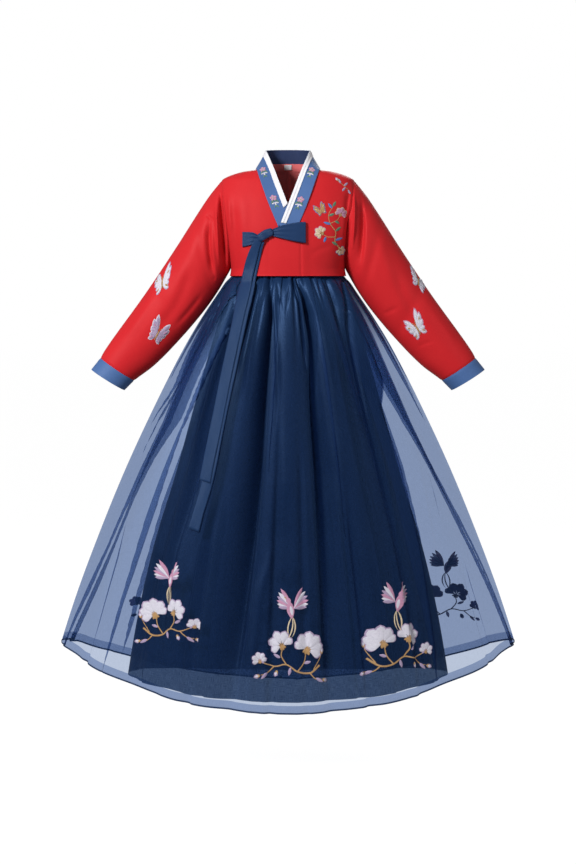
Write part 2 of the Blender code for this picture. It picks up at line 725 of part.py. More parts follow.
def column_bearings(count):
    """Bearings from -90 to 90, equally far apart round the organza at EVEN_Z."""
    fine = np.radians(np.linspace(-90, 90, 721))
    half_width, half_depth = (read(ORGANZA, name, EVEN_Z) for name in ("half_width", "half_depth"))
    across, ahead = half_width * np.sin(fine), half_depth * np.cos(fine)
    along = np.concatenate([[0], np.cumsum(np.hypot(np.diff(across), np.diff(ahead)))])
    wanted = np.linspace(0, along[-1], count + 1)
    return np.degrees(np.interp(wanted, along, fine))


def skirt_panel(outline, hem, shares, columns, gathers, turn):
    """Half of a skirt layer: the front, or with a turn of 180 degrees the back."""
    bearings = column_bearings(columns) + turn
    grid = []
    for share in shares:
        row = []
        for k, bearing in enumerate(bearings):
            z = WAIST_Z - SEAM + (hem_z(hem, bearing) - WAIST_Z) * share
            gather = (1 - math.cos(2 * math.pi * gathers * k / columns)) / 2 if gathers else 0
            gather *= min(k / FLAT_COLUMNS, (columns - k) / FLAT_COLUMNS, 1)
            row.append(skirt_point(outline, bearing, z, gather))
        grid.append(row)
    return drawn_in(grid, left=SIDE_SEAM, right=SIDE_SEAM)


def add_skirt(parts):
    for side, turn in (("front", 0), ("back", 180)):
        organza = skirt_panel(ORGANZA, ORGANZA_HEM, SKIRT_ROWS, SKIRT_COLUMNS, GATHERS, turn)
        add_cloth(parts, "skirt_" + side, organza, "organza", THIN)
        lining = skirt_panel(LINING, LINING_HEM, LINING_ROWS, LINING_COLUMNS, 0, turn)
        add_cloth(parts, "lining_" + side, lining, "navy", THIN)

    inset = 0.0030
    half_width = read(ORGANZA, "half_width", WAIST_Z) - inset
    half_depth = read(ORGANZA, "half_depth", WAIST_Z) - inset
    middle = read(ORGANZA, "middle", WAIST_Z)
    around = 40
    band = [
        [
            (
                half_width * math.sin(2 * math.pi * k / around),
                middle - half_depth * math.cos(2 * math.pi * k / around),
                z,
            )
            for k in range(around)
        ]
        for z in (BAND_TOP_Z, WAIST_Z + SEAM)
    ]
    add_cloth(parts, "waistband", band, "navy", BAND, round_about=True)


def main():
    for thing in list(bpy.data.objects):
        bpy.data.objects.remove(thing, do_unlink=True)
    parts = bpy.data.collections.new("hanbok")
    bpy.context.scene.collection.children.link(parts)
    add_jacket_body(parts)
    add_sleeves(parts)
    add_collar(parts)
    add_label(parts)
    add_bow(parts)
    add_skirt(parts)


main()
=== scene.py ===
"""The looks of a woman's hanbok: a short red jacket over a long navy skirt of see-through organza
with a darker lining, filled out as it is worn but with no wearer.

Metres, +Z up. The wearer faces -Y, and +X is the wearer's left. The origin is the middle of
the base of the neck. Each piece of cloth is a thin shell on the form of its CAD solid, with
creases, embroidery and hems added in real sizes. The tables of curves, creases, folds and
stitches are in mm and degrees.
"""

import math

import bpy
import numpy as np
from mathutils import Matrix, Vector


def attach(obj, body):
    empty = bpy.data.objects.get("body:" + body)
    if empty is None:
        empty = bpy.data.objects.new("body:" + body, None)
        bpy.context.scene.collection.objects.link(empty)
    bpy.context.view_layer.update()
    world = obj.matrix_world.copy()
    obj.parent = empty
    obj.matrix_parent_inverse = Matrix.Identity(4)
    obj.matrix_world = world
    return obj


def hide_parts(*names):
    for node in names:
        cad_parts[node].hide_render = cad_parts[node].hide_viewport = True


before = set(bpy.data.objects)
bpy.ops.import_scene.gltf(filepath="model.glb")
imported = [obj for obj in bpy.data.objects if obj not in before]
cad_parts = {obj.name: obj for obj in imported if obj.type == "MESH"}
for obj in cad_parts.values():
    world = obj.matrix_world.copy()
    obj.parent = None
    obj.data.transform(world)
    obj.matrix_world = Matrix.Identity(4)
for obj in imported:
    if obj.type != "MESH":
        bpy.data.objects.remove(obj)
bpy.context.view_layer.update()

# ---------------------------------------------------------------- sizes, as in the CAD model

CLOTH = 0.0012
THIN = 0.0010
BAND = 0.0020
STEP = 0.0006  # between layers that lie on each other
OVER_FRONT = STEP + CLOTH  # how far the layer over the right front lies out from it
COLLAR_OVER = OVER_FRONT + STEP + CLOTH

SHOULDER_START_X = 0.074  # where the shoulder seam comes out from under the collar
SHOULDER_TIP_Z = -0.025
UNDERARM_Z = -0.2352
JACKET_HEM_Z = -0.2525
WAIST_Z = -0.2350
BAND_TOP_Z = -0.1700

SQUARENESS = 2.5  # of the superellipse that the body's level sections follow
ARMHOLE_HALF_DEPTH = 0.068
ARMHOLE_MIDDLE = (0.147, 0.0, (SHOULDER_TIP_Z + UNDERARM_Z) / 2)


def eased(share):
    """Shares from 0 to 1 that leave and arrive gently."""
    share = np.clip(share, 0.0, 1.0)
    return share * share * (3 - 2 * share)


def curve(*rows, key_unit=1000):
    """A function that reads a table's other columns against its first one, along smooth curves
    that never overshoot. The rows are in mm, but a first column of shares has the unit 1."""
    data = np.array(sorted(rows), float)
    key, values = data[:, 0] / key_unit, data[:, 1:] / 1000
    slopes = np.diff(values, axis=0) / np.diff(key)[:, None]
    before, after = slopes[:-1], slopes[1:]
    same_way = before * after > 0
    middle = np.zeros_like(before)
    middle[same_way] = 2 / (1 / before[same_way] + 1 / after[same_way])
    tangents = np.vstack([slopes[:1], middle, slopes[-1:]])
    fine = np.linspace(key[0], key[-1], 800)
    row = np.clip(np.searchsorted(key, fine, side="right") - 1, 0, len(key) - 2)
    width = (key[row + 1] - key[row])[:, None]
    t = (fine - key[row])[:, None] / width
    smooth = values[row] + eased(t) * (values[row + 1] - values[row])
    smooth += t * (1 - t) * width * ((1 - t) * tangents[row] - t * tangents[row + 1])

    def read(at):
        columns = [np.interp(at, fine, column) for column in smooth.T]
        return columns if len(columns) > 1 else columns[0]

    return read


# Level sections of the body: z | half width | depth in front | depth behind
BODY = curve(
    (52, 49, 44, 56),
    (36, 58, 50, 58),
    (20, 65.5, 56, 61),
    (5, 71.6, 60, 64),
    (0, 77, 62, 66),
    (-5, 110, 65, 69),
    (-19, 150, 72, 75),
    (-25, 158, 75, 77),
    (-34, 161, 79, 80),
    (-80, 166, 95, 88),
    (-150, 170, 106, 90),
    (-200, 160, 108, 88),
    (-235.2, 136.5, 107, 87),
    (-252.5, 138.5, 106, 86),
)

# The edge of the front and back at the side: z | x
SIDE_LINE = curve((-25, 158), (-235.2, 136.5), (-252.5, 138.5))

# Half of the collar, from the middle of the back round the neck and down the front:
# distance along | x, y and z of its outer edge | x, y and z of its inner edge
COLLAR = curve(
    (0, 0, 64.5, 12, 0, 58, 50.5),
    (17, 20.2, 63.2, 11.7, 15, 57, 50.4),
    (34, 38.5, 58.5, 11, 28.5, 52.5, 50),
    (64, 63.5, 40, 8, 47, 33, 48),
    (92, 75.3, 11, 4.8, 52.5, 7, 45.5),
    (109, 76.8, -10, 3, 50, -9, 42),
    (128, 76.1, -31, 1.5, 45.7, -25, 32),
    (148, 74.4, -50.2, -1, 40, -42, 17.6),
    (171, 70, -67.6, -13, 32.4, -58.2, -1),
    (200, 62, -80.3, -36.8, 23, -72.4, -26),
    (228, 53.5, -90.3, -61.5, 13.7, -84.8, -50.1),
    (254, 45.2, -97, -83.5, 4.4, -94.1, -73.9),
    (284, 34.5, -102.6, -110, -6.8, -101.2, -102.3),
    (314, 22.5, -106.8, -138, -17.9, -105.6, -130.5),
    (335, 15, -108.5, -157.5, -25.4, -107.3, -149.5),
)
COLLAR_END = 0.335
UNDER_COLLAR_END = (0.2970, 0.3130)  # the lower end stops here, at the inner and outer edge
UNDER_STRIP_END = (0.2640, 0.2880)
OVER_STRIP_END = 0.311
COLLAR_WIDTH = 0.041
COLLAR_RISE_START, COLLAR_RISE_LENGTH = 0.155, 0.055
STRIP_SHARE = 0.70  # the white strip covers the collar from here to its inner edge
STRIP_LIFT = 0.0014  # of its outer face off the collar
STRIP_LAYER = 0.0005  # the thickness of its upper layer
STRIP_LAYER_SHARE = 0.855  # and where that layer's edge lies
NECKLINE_ACROSS = 0.13
NECK_SIDE_ALONG = 0.103

OVER_START_X = 0.056  # from here to the middle the left front rises over the right one
OVER_RISE_WIDTH = 0.022
OVERLAP_SEAM_X = 0.0310
OVERLAP_SEAM_ALONG = 0.281
OVERLAP_TOP = (-0.0440, -0.1560)
OVERLAP_HEM_X = -0.0490
HIDDEN_EDGE_X = -0.0150
HIDDEN_EDGE_DROP = 0.004

# The sleeve's upper and lower lines, as shares of their lengths: share | x | z
SLEEVE_UPPER = curve(
    (0, 158, -25),
    (0.07, 188, -62.4),
    (0.17, 217, -105.6),
    (0.34, 263, -177.6),
    (0.59, 337, -288),
    (0.93, 440.4, -432),
    (1, 450, -448),
    (1.08, 472, -476),
    key_unit=1,
)
SLEEVE_LOWER = curve(
    (0, 136.5, -235.2),
    (0.14, 164, -283),
    (0.29, 192, -324),
    (0.55, 252, -396),
    (0.83, 322.8, -468),
    (1, 369, -503),
    (1.08, 392.5, -526),
    key_unit=1,
)
SLEEVE_DEPTH = curve((0, 68), (0.3, 62), (1, 42), (1.08, 41), key_unit=1)
# Creases round the sleeve: share along it | share of its length it is wide | depth in metres
SLEEVE_CREASES = ((0.075, 0.030, 0.0035), (0.20, 0.035, 0.0025), (0.56, 0.040, 0.0025))
CUFF_START, CUFF_END = 1.0, 1.08
SLEEVE_LENGTH = 0.50  # of one share of it
SLEEVE_RADIUS = 0.085  # of its front, where the butterflies lie
SEAM_TURNING = 0.006  # how far the sleeve's edge is turned into the body
SEAM_TURNING_DROP = 0.0022

# The skirt's outer outline down its ridges: z | half width | half depth | middle's y
ORGANZA = curve(
    (-235, 129, 87, -10),
    (-252.5, 135.5, 91.5, -10),
    (-268, 150, 102, -10),
    (-285.9, 162, 110, -10),
    (-357.7, 210, 128, -9),
    (-429.6, 252, 143, -8),
    (-573.9, 325.2, 168, -6),
    (-718.6, 392.4, 190, -4),
    (-863.9, 452.4, 208, -2),
    (-1009.7, 507.6, 224, 0),
    (-1134, 548.4, 236, 0),
    (-1275, 590, 248, 0),
)
LINING = curve(
    (-235, 121.3, 79.3, -10),
    (-252.5, 126.2, 82.2, -10),
    (-268, 134, 90, -10),
    (-285.9, 142, 97, -10),
    (-357.7, 164, 114, -9),
    (-429.6, 187, 129, -8),
    (-573.9, 228, 154, -6),
    (-733, 272, 177, -4),
    (-888, 320, 196, -2),
    (-1055, 360, 214, 0),
    (-1215.5, 388, 228, 0),
    (-1250, 393, 231, 0),
)
# The hems rise at the sides: z at the middle of the front and back, and at the sides
ORGANZA_HEM = (-1.2660, -1.1320)
LINING_HEM = (-1.2430, -1.2120)

MIDDLE_Z = -0.8639  # halfway down the skirt, where its columns are spaced evenly
BAND_INSET = 0.0030  # of the waistband in the organza
HEM_ROLL_HALF = (0.0020, 0.0006)  # half the height and the width of the organza's rolled hem

GATHER_DEPTH = 0.0065
FOLD_DEPTH = curve((-1300, 14), (-1100, 17), (-600, 18), (-360, 10), (-250, 0))
FOLD_ONSET = 0.12  # the height in which a broad fold reaches its depth
LINING_RIPPLES = 0.9  # the share of the finer folds' depth that the lining follows
# Broad folds: bearing | half width | share of the depth | start below the waist, in metres
FOLD_VALLEYS = (
    (-67, 8.0, 0.60, 0.06),
    (-40, 9.5, 1.00, 0.02),
    (-12, 6.5, 0.90, 0.00),
    (-1, 3.5, 0.40, 0.50),
    (13, 7.5, 0.95, 0.00),
    (41, 9.0, 1.00, 0.02),
    (69, 8.5, 0.60, 0.08),
    (112, 8.0, 0.65, 0.03),
    (136, 9.0, 0.95, 0.00),
    (158, 6.5, 0.85, 0.05),
    (178, 7.5, 1.00, 0.00),
    (-157, 6.0, 0.75, 0.10),
    (-135, 9.5, 1.00, 0.00),
    (-109, 8.0, 0.60, 0.05),
)

# The ribbon tails: z | middle's x | width | lift off the jacket or the skirt
TAIL_FRONT = curve(
    (-169, -69, 19, 10),
    (-185, -77, 21, 8),
    (-215, -86.3, 25.5, 5.6),
    (-250.1, -95, 26, 5.4),
    (-303.8, -106.9, 29, 5.4),
    (-356.3, -118, 26, 5.2),
    (-483.1, -144.7, 26, 4.8),
    (-600, -168, 27, 4.8),
    (-727, -193.9, 25, 4.8),
)
TAIL_REAR = curve(
    (-172, -62, 15, 7),
    (-185, -68, 18, 5.5),
    (-215, -78, 24, 2.6),
    (-250.1, -87, 26, 2.4),
    (-303.8, -98.5, 29, 2.4),
    (-356.3, -110, 27, 2.4),
    (-483.1, -137, 27, 2.4),
    (-600, -162, 27, 2.4),
    (-727, -187, 26, 2.4),
    (-840, -220.5, 24, 2.4),
)
TAIL_SLANT = 0.008  # of its cut end
TAIL_SLANT_HEIGHT = 0.04
TAIL_RIPPLE = 0.0006
TAIL_FRONT_ENDS = (-0.164, -0.727)  # z of its upper and lower end
TAIL_REAR_ENDS = (-0.172, -0.840)

# The bow's loops: distance along it, from knot to fold | middle x | z of its edges | puff
LONG_LOOP = curve(
    (0, -35.2, -143.5, -159, 3),
    (0.3, -13, -135, -165, 5),
    (0.7, 17, -129, -172, 6),
    (1, 39, -127, -175.5, 5),
    key_unit=1,
)
SHORT_LOOP = curve(
    (0, -71, -156, -174, 2),
    (0.4, -84, -150, -179, 3.5),
    (1, -105, -149, -184, 3),
    key_unit=1,
)

LOOP_RIPPLE = 0.0008  # of its gathers at the knot

KNOT_MIDDLE = (-0.0520, -0.1560)
KNOT_HALF = (0.0205, 0.0060, 0.0105)
KNOT_BLUNTNESS = 0.55
KNOT_RIDGE = 0.0006
KNOT_TILT = math.radians(28)

LABEL_HALF_WIDTH = 0.009
LABEL_TOP_Z = 0.0150
LABEL_BOTTOM_Z = 0.0030

# ---------------------------------------------------------------- creases and folds

# Creases of the jacket as seen from the front, in mm: x, z of the start, the middle and the end |
# half width towards -x and +x | depth, negative on a ridge
FRONT_CREASES = (
    # beside the wearer's right armhole
    (-159, -48, -154, -132.5, -146, -248, 6.5, 3.4, 19),
    (-171, -88, -167.5, -147, -163, -225, 3.4, 3.4, -7),
    (-185, -120, -185, -190, -174, -256, 8, 4, 12),
    (-196, -108, -185, -114, -174, -123, 2.4, 2.4, 3.2),
    (-142, -56, -139, -105, -135, -160, 3, 7, -4),
    (-133, -80, -124, -148, -123, -240, 9, 9, 3),
    (-113, -50, -106, -120, -110, -190, 13, 13, -2),
    # down the wearer's right sleeve
    (-205, -80, -228, -190, -272, -290, 16, 16, -2.6),
    (-235, -220, -262, -315, -335, -398, 13, 13, 3.2),
    (-310, -280, -348, -342, -390, -405, 12, 12, -2.2),
    (-202, -290, -233, -332, -270, -372, 6, 6, 2.6),
    # beside the wearer's left armhole
    (147, -95, 140, -170, 133.5, -248, 6.5, 3, 17),
    (146, -50, 140, -85, 136, -125, 7, 3.5, 4.5),
    (157, -56, 157, -115, 153, -185, 3.2, 3, -7),
    (174, -70, 178, -150, 169, -235, 8, 4, 10),
    (118, -70, 122, -150, 118, -230, 10, 10, 2),
    # down the wearer's left sleeve
    (208, -100, 225, -200, 260, -290, 15, 15, -2.4),
    (226, -343, 242, -336, 262, -325, 3.6, 3.6, 2),
    (250, -230, 285, -320, 340, -395, 12, 12, 2.4),
    (330, -315, 370, -372, 408, -415, 10, 10, -1.6),
    (305, -425, 325, -413, 345, -408, 3.4, 3.4, 1.2),
    # across the chest
    (50, -205, 80, -188, 114, -178, 6, 6, 1),
    (-56, -205, -80, -193, -108, -190, 6, 6, 1.2),
)
# The same as seen from behind
BACK_CREASES = (
    (-154, -56, -148, -145, -139, -244, 3.5, 6.5, 11),
    (-168, -74, -167, -145, -162, -225, 3, 4, -3.5),
    (-188, -100, -188, -170, -176, -245, 5, 8, 5),
    (-215, -100, -240, -200, -280, -285, 15, 15, -2.4),
    (-245, -250, -275, -330, -345, -410, 12, 12, 3),
    (-218, -328, -240, -315, -260, -308, 3.4, 3.4, 1.8),
    (-120, -80, -112, -150, -115, -230, 11, 11, 2.2),
    (154, -50, 147, -135, 139, -244, 6.5, 3, 12),
    (170, -80, 167, -150, 161, -225, 4, 3, -3.5),
    (185, -130, 186, -195, 172, -252, 7.5, 4.5, 5.5),
    (210, -90, 232, -195, 275, -295, 16, 16, -2.4),
    (240, -230, 270, -320, 335, -390, 12, 12, 2.8),
    (320, -295, 360, -355, 400, -410, 11, 11, -1.8),
    (118, -70, 110, -145, 113, -220, 10, 10, 2),
    (-90, -45, -45, -56, -8, -56, 5, 5, 1.2),
    (12, -64, 50, -65, 90, -54, 5, 5, 1.2),
)

CREASE_FADE = 0.045  # the creases fade over this depth towards the sides
CREASE_TAPER = 0.3  # the share of its length in which a crease reaches its depth
CREASE_END_DEPTH = 0.15  # the share of its depth that it has at its ends

# The skirt's folds as seen from the front, each a row of places down it, in mm: x, z | half
# width towards -x and +x | depth, negative on a ridge
SKIRT_FOLDS = (
    # from the waist beside the ribbon, down to the knee
    ((-47, -236, 4, 4, 4), (-47, -275, 6, 4, 15), (-45, -344, 7, 4, 24), (-54, -418, 11, 5, 36),
     (-63, -495, 14, 6, 40), (-73, -591, 18, 8, 42), (-83, -717, 22, 10, 40),
     (-103, -888, 26, 13, 36), (-128, -1080, 30, 17, 26), (-150, -1250, 32, 20, 8)),
    ((-79, -245, 4, 4, 0), (-81, -285, 5, 4, 12), (-94, -344, 7, 5, 16), (-109, -399, 7, 5, 11),
     (-122, -450, 6, 5, 0)),
    ((-122, -245, 4, 4, 0), (-127, -270, 5, 4, 9), (-135, -334, 7, 5, 14),
     (-160, -420, 10, 8, 18), (-188, -512, 13, 11, 22), (-222, -639, 17, 14, 24),
     (-252, -771, 18, 15, 20), (-285, -900, 20, 12, 9), (-310, -1080, 22, 14, 4),
     (-320, -1240, 22, 14, 2)),
    ((-152, -250, 3, 3, 0), (-156, -290, 4, 3, 8), (-178, -345, 5, 4, 9), (-205, -420, 6, 5, 0)),
    # right of the middle, with a bright edge between two troughs
    ((20, -242, 3, 5, 0), (22, -265, 4, 6, 10), (38, -303, 4, 7, 16), (50, -345, 5, 10, 32),
     (58, -389, 4, 11, 36), (62, -430, 4, 10, 34), (62, -526, 4, 14, 36), (65, -591, 4, 19, 38),
     (71, -656, 5, 24, 38), (77, -717, 6, 28, 36), (88, -860, 8, 28, 30), (98, -1040, 11, 28, 22),
     (108, -1250, 14, 28, 7)),
    ((11, -245, 3, 3, 0), (13, -265, 4, 2, 8), (28, -317, 4, 2, 10), (40, -406, 5, 3, 10),
     (48, -480, 4, 3, 0)),
    ((90, -242, 3, 3, 0), (94, -262, 4, 3, 8), (118, -322, 5, 4, 9), (135, -390, 5, 5, 0)),
    ((128, -245, 4, 4, 0), (132, -275, 5, 4, 10), (146, -330, 6, 5, 14), (160, -410, 6, 7, 15),
     (186, -527, 7, 8, 15), (208, -624, 8, 9, 14), (232, -725, 9, 12, 14), (262, -860, 9, 15, 9),
     (300, -1060, 12, 18, 4), (320, -1240, 12, 20, 2)),
    # puckers under the band
    ((-28, -262, 2, 3, 0), (-24, -285, 3, 2, 4), (-10, -350, 2, 2, 0)),
    ((6, -262, 3, 2, 0), (2, -290, 2, 3, 4), (-7, -345, 2, 2, 0)),
    ((70, -246, 3, 3, 0), (74, -270, 4, 3, 6), (88, -330, 4, 4, 0)),
    ((-62, -242, 2, 3, 0), (-62, -262, 3, 2, 5), (-66, -300, 3, 3, 0)),
    # bright ridges
    ((-33, -300, 2, 3, 0), (-32, -340, 3, 5, -4), (-27, -460, 3, 8, -5), (-26, -560, 4, 8, 0)),
    ((-66, -280, 5, 3, 0), (-79, -345, 8, 6, -6), (-98, -440, 12, 8, -7), (-112, -540, 14, 8, 0)),
    ((300, -640, 8, 8, 0), (330, -800, 10, 6, -6), (372, -1000, 9, 6, 0)),
    # long soft folds lower down
    ((-20, -560, 6, 6, 0), (-26, -720, 6, 10, 7), (-34, -900, 7, 14, 11), (-45, -1200, 8, 16, 8)),
    ((28, -600, 8, 8, 0), (34, -780, 10, 7, 7), (40, -1000, 14, 7, 9), (46, -1230, 14, 8, 4)),
    ((140, -700, 10, 10, 0), (160, -880, 8, 16, 13), (186, -1100, 9, 20, 15),
     (198, -1250, 10, 20, 9)),
    ((-170, -780, 10, 10, 0), (-198, -940, 18, 9, 13), (-226, -1120, 22, 10, 14),
     (-240, -1250, 20, 11, 8)),
    ((-380, -760, 10, 10, 0), (-418, -920, 14, 9, 9), (-462, -1080, 16, 10, 8),
     (-490, -1180, 16, 12, 5)),
    ((236, -800, 9, 9, 0), (262, -960, 9, 12, -5), (290, -1130, 10, 14, -7),
     (304, -1240, 12, 12, -3)),
    ((-30, -860, 8, 8, 0), (-66, -980, 14, 8, -5), (-84, -1120, 16, 9, -7),
     (-94, -1250, 14, 10, -3)),
    ((398, -860, 8, 8, 0), (436, -1000, 10, 12, 7), (470, -1120, 10, 14, 6),
     (488, -1190, 10, 12, 3)),
)
BACK_FOLD_SHIFT = 7.0  # degrees that the same folds are moved on round the back

# Folds where the organza doubles over itself, which darkens the see-through cloth. Each is a row
# of places down it: z in mm, bearing in degrees and half its width in degrees
ORGANZA_PLEATS = (
    ((-240, -83, 4), (-360, -84, 3), (-500, -85, 0)),
    ((-240, -72, 4.5), (-380, -73, 3.5), (-520, -75, 1), (-700, -78, 0)),
    ((-240, -57, 5.5), (-420, -60, 6), (-510, -62, 6.4), (-600, -61.5, 5.6), (-700, -65.8, 3.2),
     (-800, -68.8, 1.6), (-900, -70.6, 1.3), (-1000, -73.5, 2), (-1150, -80, 1.6)),
    ((-240, -44, 4), (-400, -46, 2.6), (-620, -49, 1), (-800, -50, 1.8), (-950, -50.5, 1.2),
     (-1120, -51.5, 0.7), (-1200, -52, 0)),
    ((-250, -31, 2.5), (-450, -32, 0.9), (-800, -33, 0)),
    ((-250, -7, 1.2), (-550, -7, 0.5), (-750, -7, 0)),
    ((-250, 20, 1.6), (-600, 19, 0.6), (-900, 18, 0)),
    ((-250, 31, 2), (-450, 32, 1.4), (-600, 33, 0)),
    ((-240, 43, 3.2), (-400, 43, 3), (-500, 43.5, 2.7), (-700, 43.5, 2.7), (-880, 42.2, 2.5),
     (-1000, 41.4, 1.6), (-1130, 40.6, 0.8), (-1210, 40, 0)),
    ((-240, 57, 5.5), (-420, 56, 6), (-500, 55.6, 5.6), (-600, 58.2, 3.6), (-700, 63.2, 2.4),
     (-800, 68.2, 1.5), (-900, 72.5, 1.3), (-1000, 76, 1.4), (-1150, 81, 1.8)),
    ((-240, 72, 4.5), (-400, 75, 3), (-600, 79, 0)),
    ((-240, 83, 4), (-360, 84, 3), (-500, 85, 0)),
)
BACK_PLEAT_SHIFT = 3.0  # degrees
PLEAT_GAP = 0.0011  # between the layers of a doubled fold
TURNED_HEM = 0.018  # how far the organza's hem is turned up inside

GATHERS = 18  # on the front or back

# Rows and columns of the pieces' grids, the skirt's being those of its front or back
PANEL_GRID = (84, 76)
OVERLAP_GRID = (50, 44)
SLEEVE_GRID = (150, 200)
CUFF_GRID = (26, 200)
COLLAR_GRID = (17, 220)
LABEL_GRID = (9, 12)
TAIL_GRID = (120, 11)
KNOT_GRID = (60, 72)
BAND_GRID = (16, 120)
SKIRT_GRID = (110, 521)
LINING_GRID = (80, 301)
EDGE_POINTS = 60  # of the neck or shoulder, along a panel's upper edge
CREASE_POINTS = 19  # along a crease

LOWEST_STITCH = 0.0003

# ---------------------------------------------------------------- surfaces


def unit(vectors):
    return vectors / np.linalg.norm(vectors, axis=-1, keepdims=True)


def armhole_depth(z):
    middle, half = ARMHOLE_MIDDLE[2], (SHOULDER_TIP_Z - UNDERARM_Z) / 2
    return ARMHOLE_HALF_DEPTH * np.sqrt(np.maximum(0.0, 1 - ((z - middle) / half) ** 2))


def body_depth(z, behind):
    _, front, back = BODY(z)
    return np.where(behind, back, front)


def body_width(z):
    """Half width of the level section at z, made to pass through the armhole's edge."""
    share = np.minimum(armhole_depth(z) / body_depth(z, False), 0.95)
    through = SIDE_LINE(z) / (1 - share**SQUARENESS) ** (1 / SQUARENESS)
    at_armhole = (z > UNDERARM_Z) & (z < SHOULDER_TIP_Z)
    return np.where(at_armhole, through, BODY(z)[0])


def body_value(points):
    """1 on the body's surface, and more outside it."""
    x, y, z = np.moveaxis(points, -1, 0)
    share_x = np.abs(x) / body_width(z)
    share_y = np.abs(y) / body_depth(z, y > 0)
    return share_x**SQUARENESS + share_y**SQUARENESS


def lifted(points, lift):
    """The points moved out from the body's surface along its normal."""
    steps = 0.0008 * np.eye(3)
    slope = [body_value(points + step) - body_value(points - step) for step in steps]
    return points + unit(np.stack(slope, axis=-1)) * np.asarray(lift)[..., None]


def body_at_x(x, z, behind=False, lift=0.0):
    """Points of the front or back at x and z."""
    x, z = np.broadcast_arrays(np.asarray(x, float), np.asarray(z, float))
    share = np.minimum(np.abs(x) / body_width(z), 1.0)
    y = body_depth(z, behind) * (1 - share**SQUARENESS) ** (1 / SQUARENESS)
    return lifted(np.stack([x, y if behind else -y, z], axis=-1), np.broadcast_to(lift, x.shape))


def bearing_x(bearing, z):
    """The x of the body's surface at a bearing, from 0 in front to 90 at the wearer's left."""
    return body_width(z) * np.abs(np.sin(np.radians(bearing))) ** (2 / SQUARENESS)


def collar_edges(place):
    edges = np.stack(COLLAR(place), axis=-1)
    return edges[..., :3], edges[..., 3:]


def collar_point(along, across, lift=0.0):
    """Points of the collar. Negative distances along it are on the wearer's right."""
    along, across, lift = np.broadcast_arrays(
        *(np.asarray(part, float) for part in (along, across, lift))
    )
    across, lift = across[..., None], lift[..., None]
    place = np.minimum(np.abs(along), COLLAR_END)
    outer, inner = collar_edges(place)
    step = 0.004
    outer_ahead, inner_ahead = collar_edges(np.minimum(place + step, COLLAR_END))
    outer_behind, inner_behind = collar_edges(np.maximum(place - step, 0.0))
    way = (1 - across) * (outer_ahead - outer_behind) + across * (inner_ahead - inner_behind)
    way[place < step] = (1.0, 0.0, 0.0)
    point = outer + (inner - outer) * across + unit(np.cross(inner - outer, way)) * lift
    return point * np.where(along < 0, -1.0, 1.0)[..., None] ** np.array([1, 0, 0])


def collar_rise(along):
    """How much higher the left end of the collar lies, to pass over the right end."""
    return (COLLAR_OVER - OVER_FRONT) * eased((along - COLLAR_RISE_START) / COLLAR_RISE_LENGTH)


def sleeve_point(share, angle, lift=0.0):
    """Points of the wearer's left sleeve, its angles running from its top round by the back."""
    share, angle = np.broadcast_arrays(np.asarray(share, float), np.asarray(angle, float))
    upper, lower = (
        np.insert(np.stack(line(share), axis=-1), 1, 0.0, axis=-1)
        for line in (SLEEVE_UPPER, SLEEVE_LOWER)
    )
    middle, half = (upper + lower) / 2, (upper - lower) / 2
    pinch = sum(d * np.exp(-(((share - at) / width) ** 2)) for at, width, d in SLEEVE_CREASES)
    depth = SLEEVE_DEPTH(share) - pinch + lift
    half = half * (1 + lift / np.linalg.norm(half, axis=-1))[..., None]
    return middle + half * np.cos(angle)[..., None] + (depth * np.sin(angle))[..., None] * (0, 1, 0)


def fold_share(bearing, z):
    """How deep the broad folds are at a bearing, from 0 on a ridge to 1 in a full valley."""
    total = 0.0
    for middle, half_width, share, start in FOLD_VALLEYS:
        off = (bearing - middle + 180) % 360 - 180
        grown = np.clip((WAIST_Z - start - z) / FOLD_ONSET, 0.0, 1.0)
        total = total + share * grown * np.exp(-((off / half_width) ** 2))
    return np.minimum(total, 1.0)


def fold_sink(bearing, z):
    """How far the folds sink the skirt, the same ones a little further on at the back."""
    behind = np.cos(np.radians(bearing)) < 0
    front = np.where(behind, 180 - bearing - BACK_FOLD_SHIFT, bearing)
    front = (front + 180) % 360 - 180
    half_width, height = 1000 * ORGANZA(z)[0], 1000 * z
    total = 0.0
    for row in SKIRT_FOLDS:
        xs, zs, *sizes = np.array(row[::-1]).T
        before, after, depth = (np.interp(height, zs, size) for size in sizes)
        middle = np.arcsin(np.clip(np.interp(height, zs, xs) / half_width, -0.99, 0.99))
        off = np.radians(front - np.degrees(middle)) * half_width
        width = np.where(off < 0, before, after)
        total = total + depth / 1000 * np.exp(-((off / width) ** 2))
    return total


def skirt_point(outline, bearing, z, depth=0.0, folded=True, ripples=1.0):
    """Points of a skirt layer, sunk by a depth. The broad folds of both layers lie together."""
    angle = np.radians(bearing)
    half_width, half_depth, middle = outline(z)
    x, y = half_width * np.sin(angle), -half_depth * np.cos(angle)
    if folded:
        outer_width, outer_depth, _ = ORGANZA(z)
        outer_bearing = np.degrees(np.arctan2(x / outer_width, -y / outer_depth))
        depth = depth + FOLD_DEPTH(z) * fold_share(outer_bearing, z)
        depth = depth + ripples * fold_sink(outer_bearing, z)
    shrink = 1 - depth / np.hypot(x, y)
    return np.stack([x * shrink, y * shrink + middle, z + 0 * x], axis=-1)


def hem_z(hem, bearing):
    middle, side = hem
    return middle + (side - middle) * np.sin(np.radians(bearing)) ** 2


def front_y(x, z, lift):
    """The front of the jacket or, below its hem, of the skirt's ridges."""
    jacket = body_at_x(x, np.maximum(z, JACKET_HEM_Z), False, lift)[..., 1]
    bearing = np.degrees(np.arcsin(x / ORGANZA(z)[0]))
    skirt = skirt_point(ORGANZA, bearing, z, -np.asarray(lift), folded=False)[..., 1]
    return np.where(z > JACKET_HEM_Z, jacket, np.minimum(skirt, jacket))


# ---------------------------------------------------------------- grids


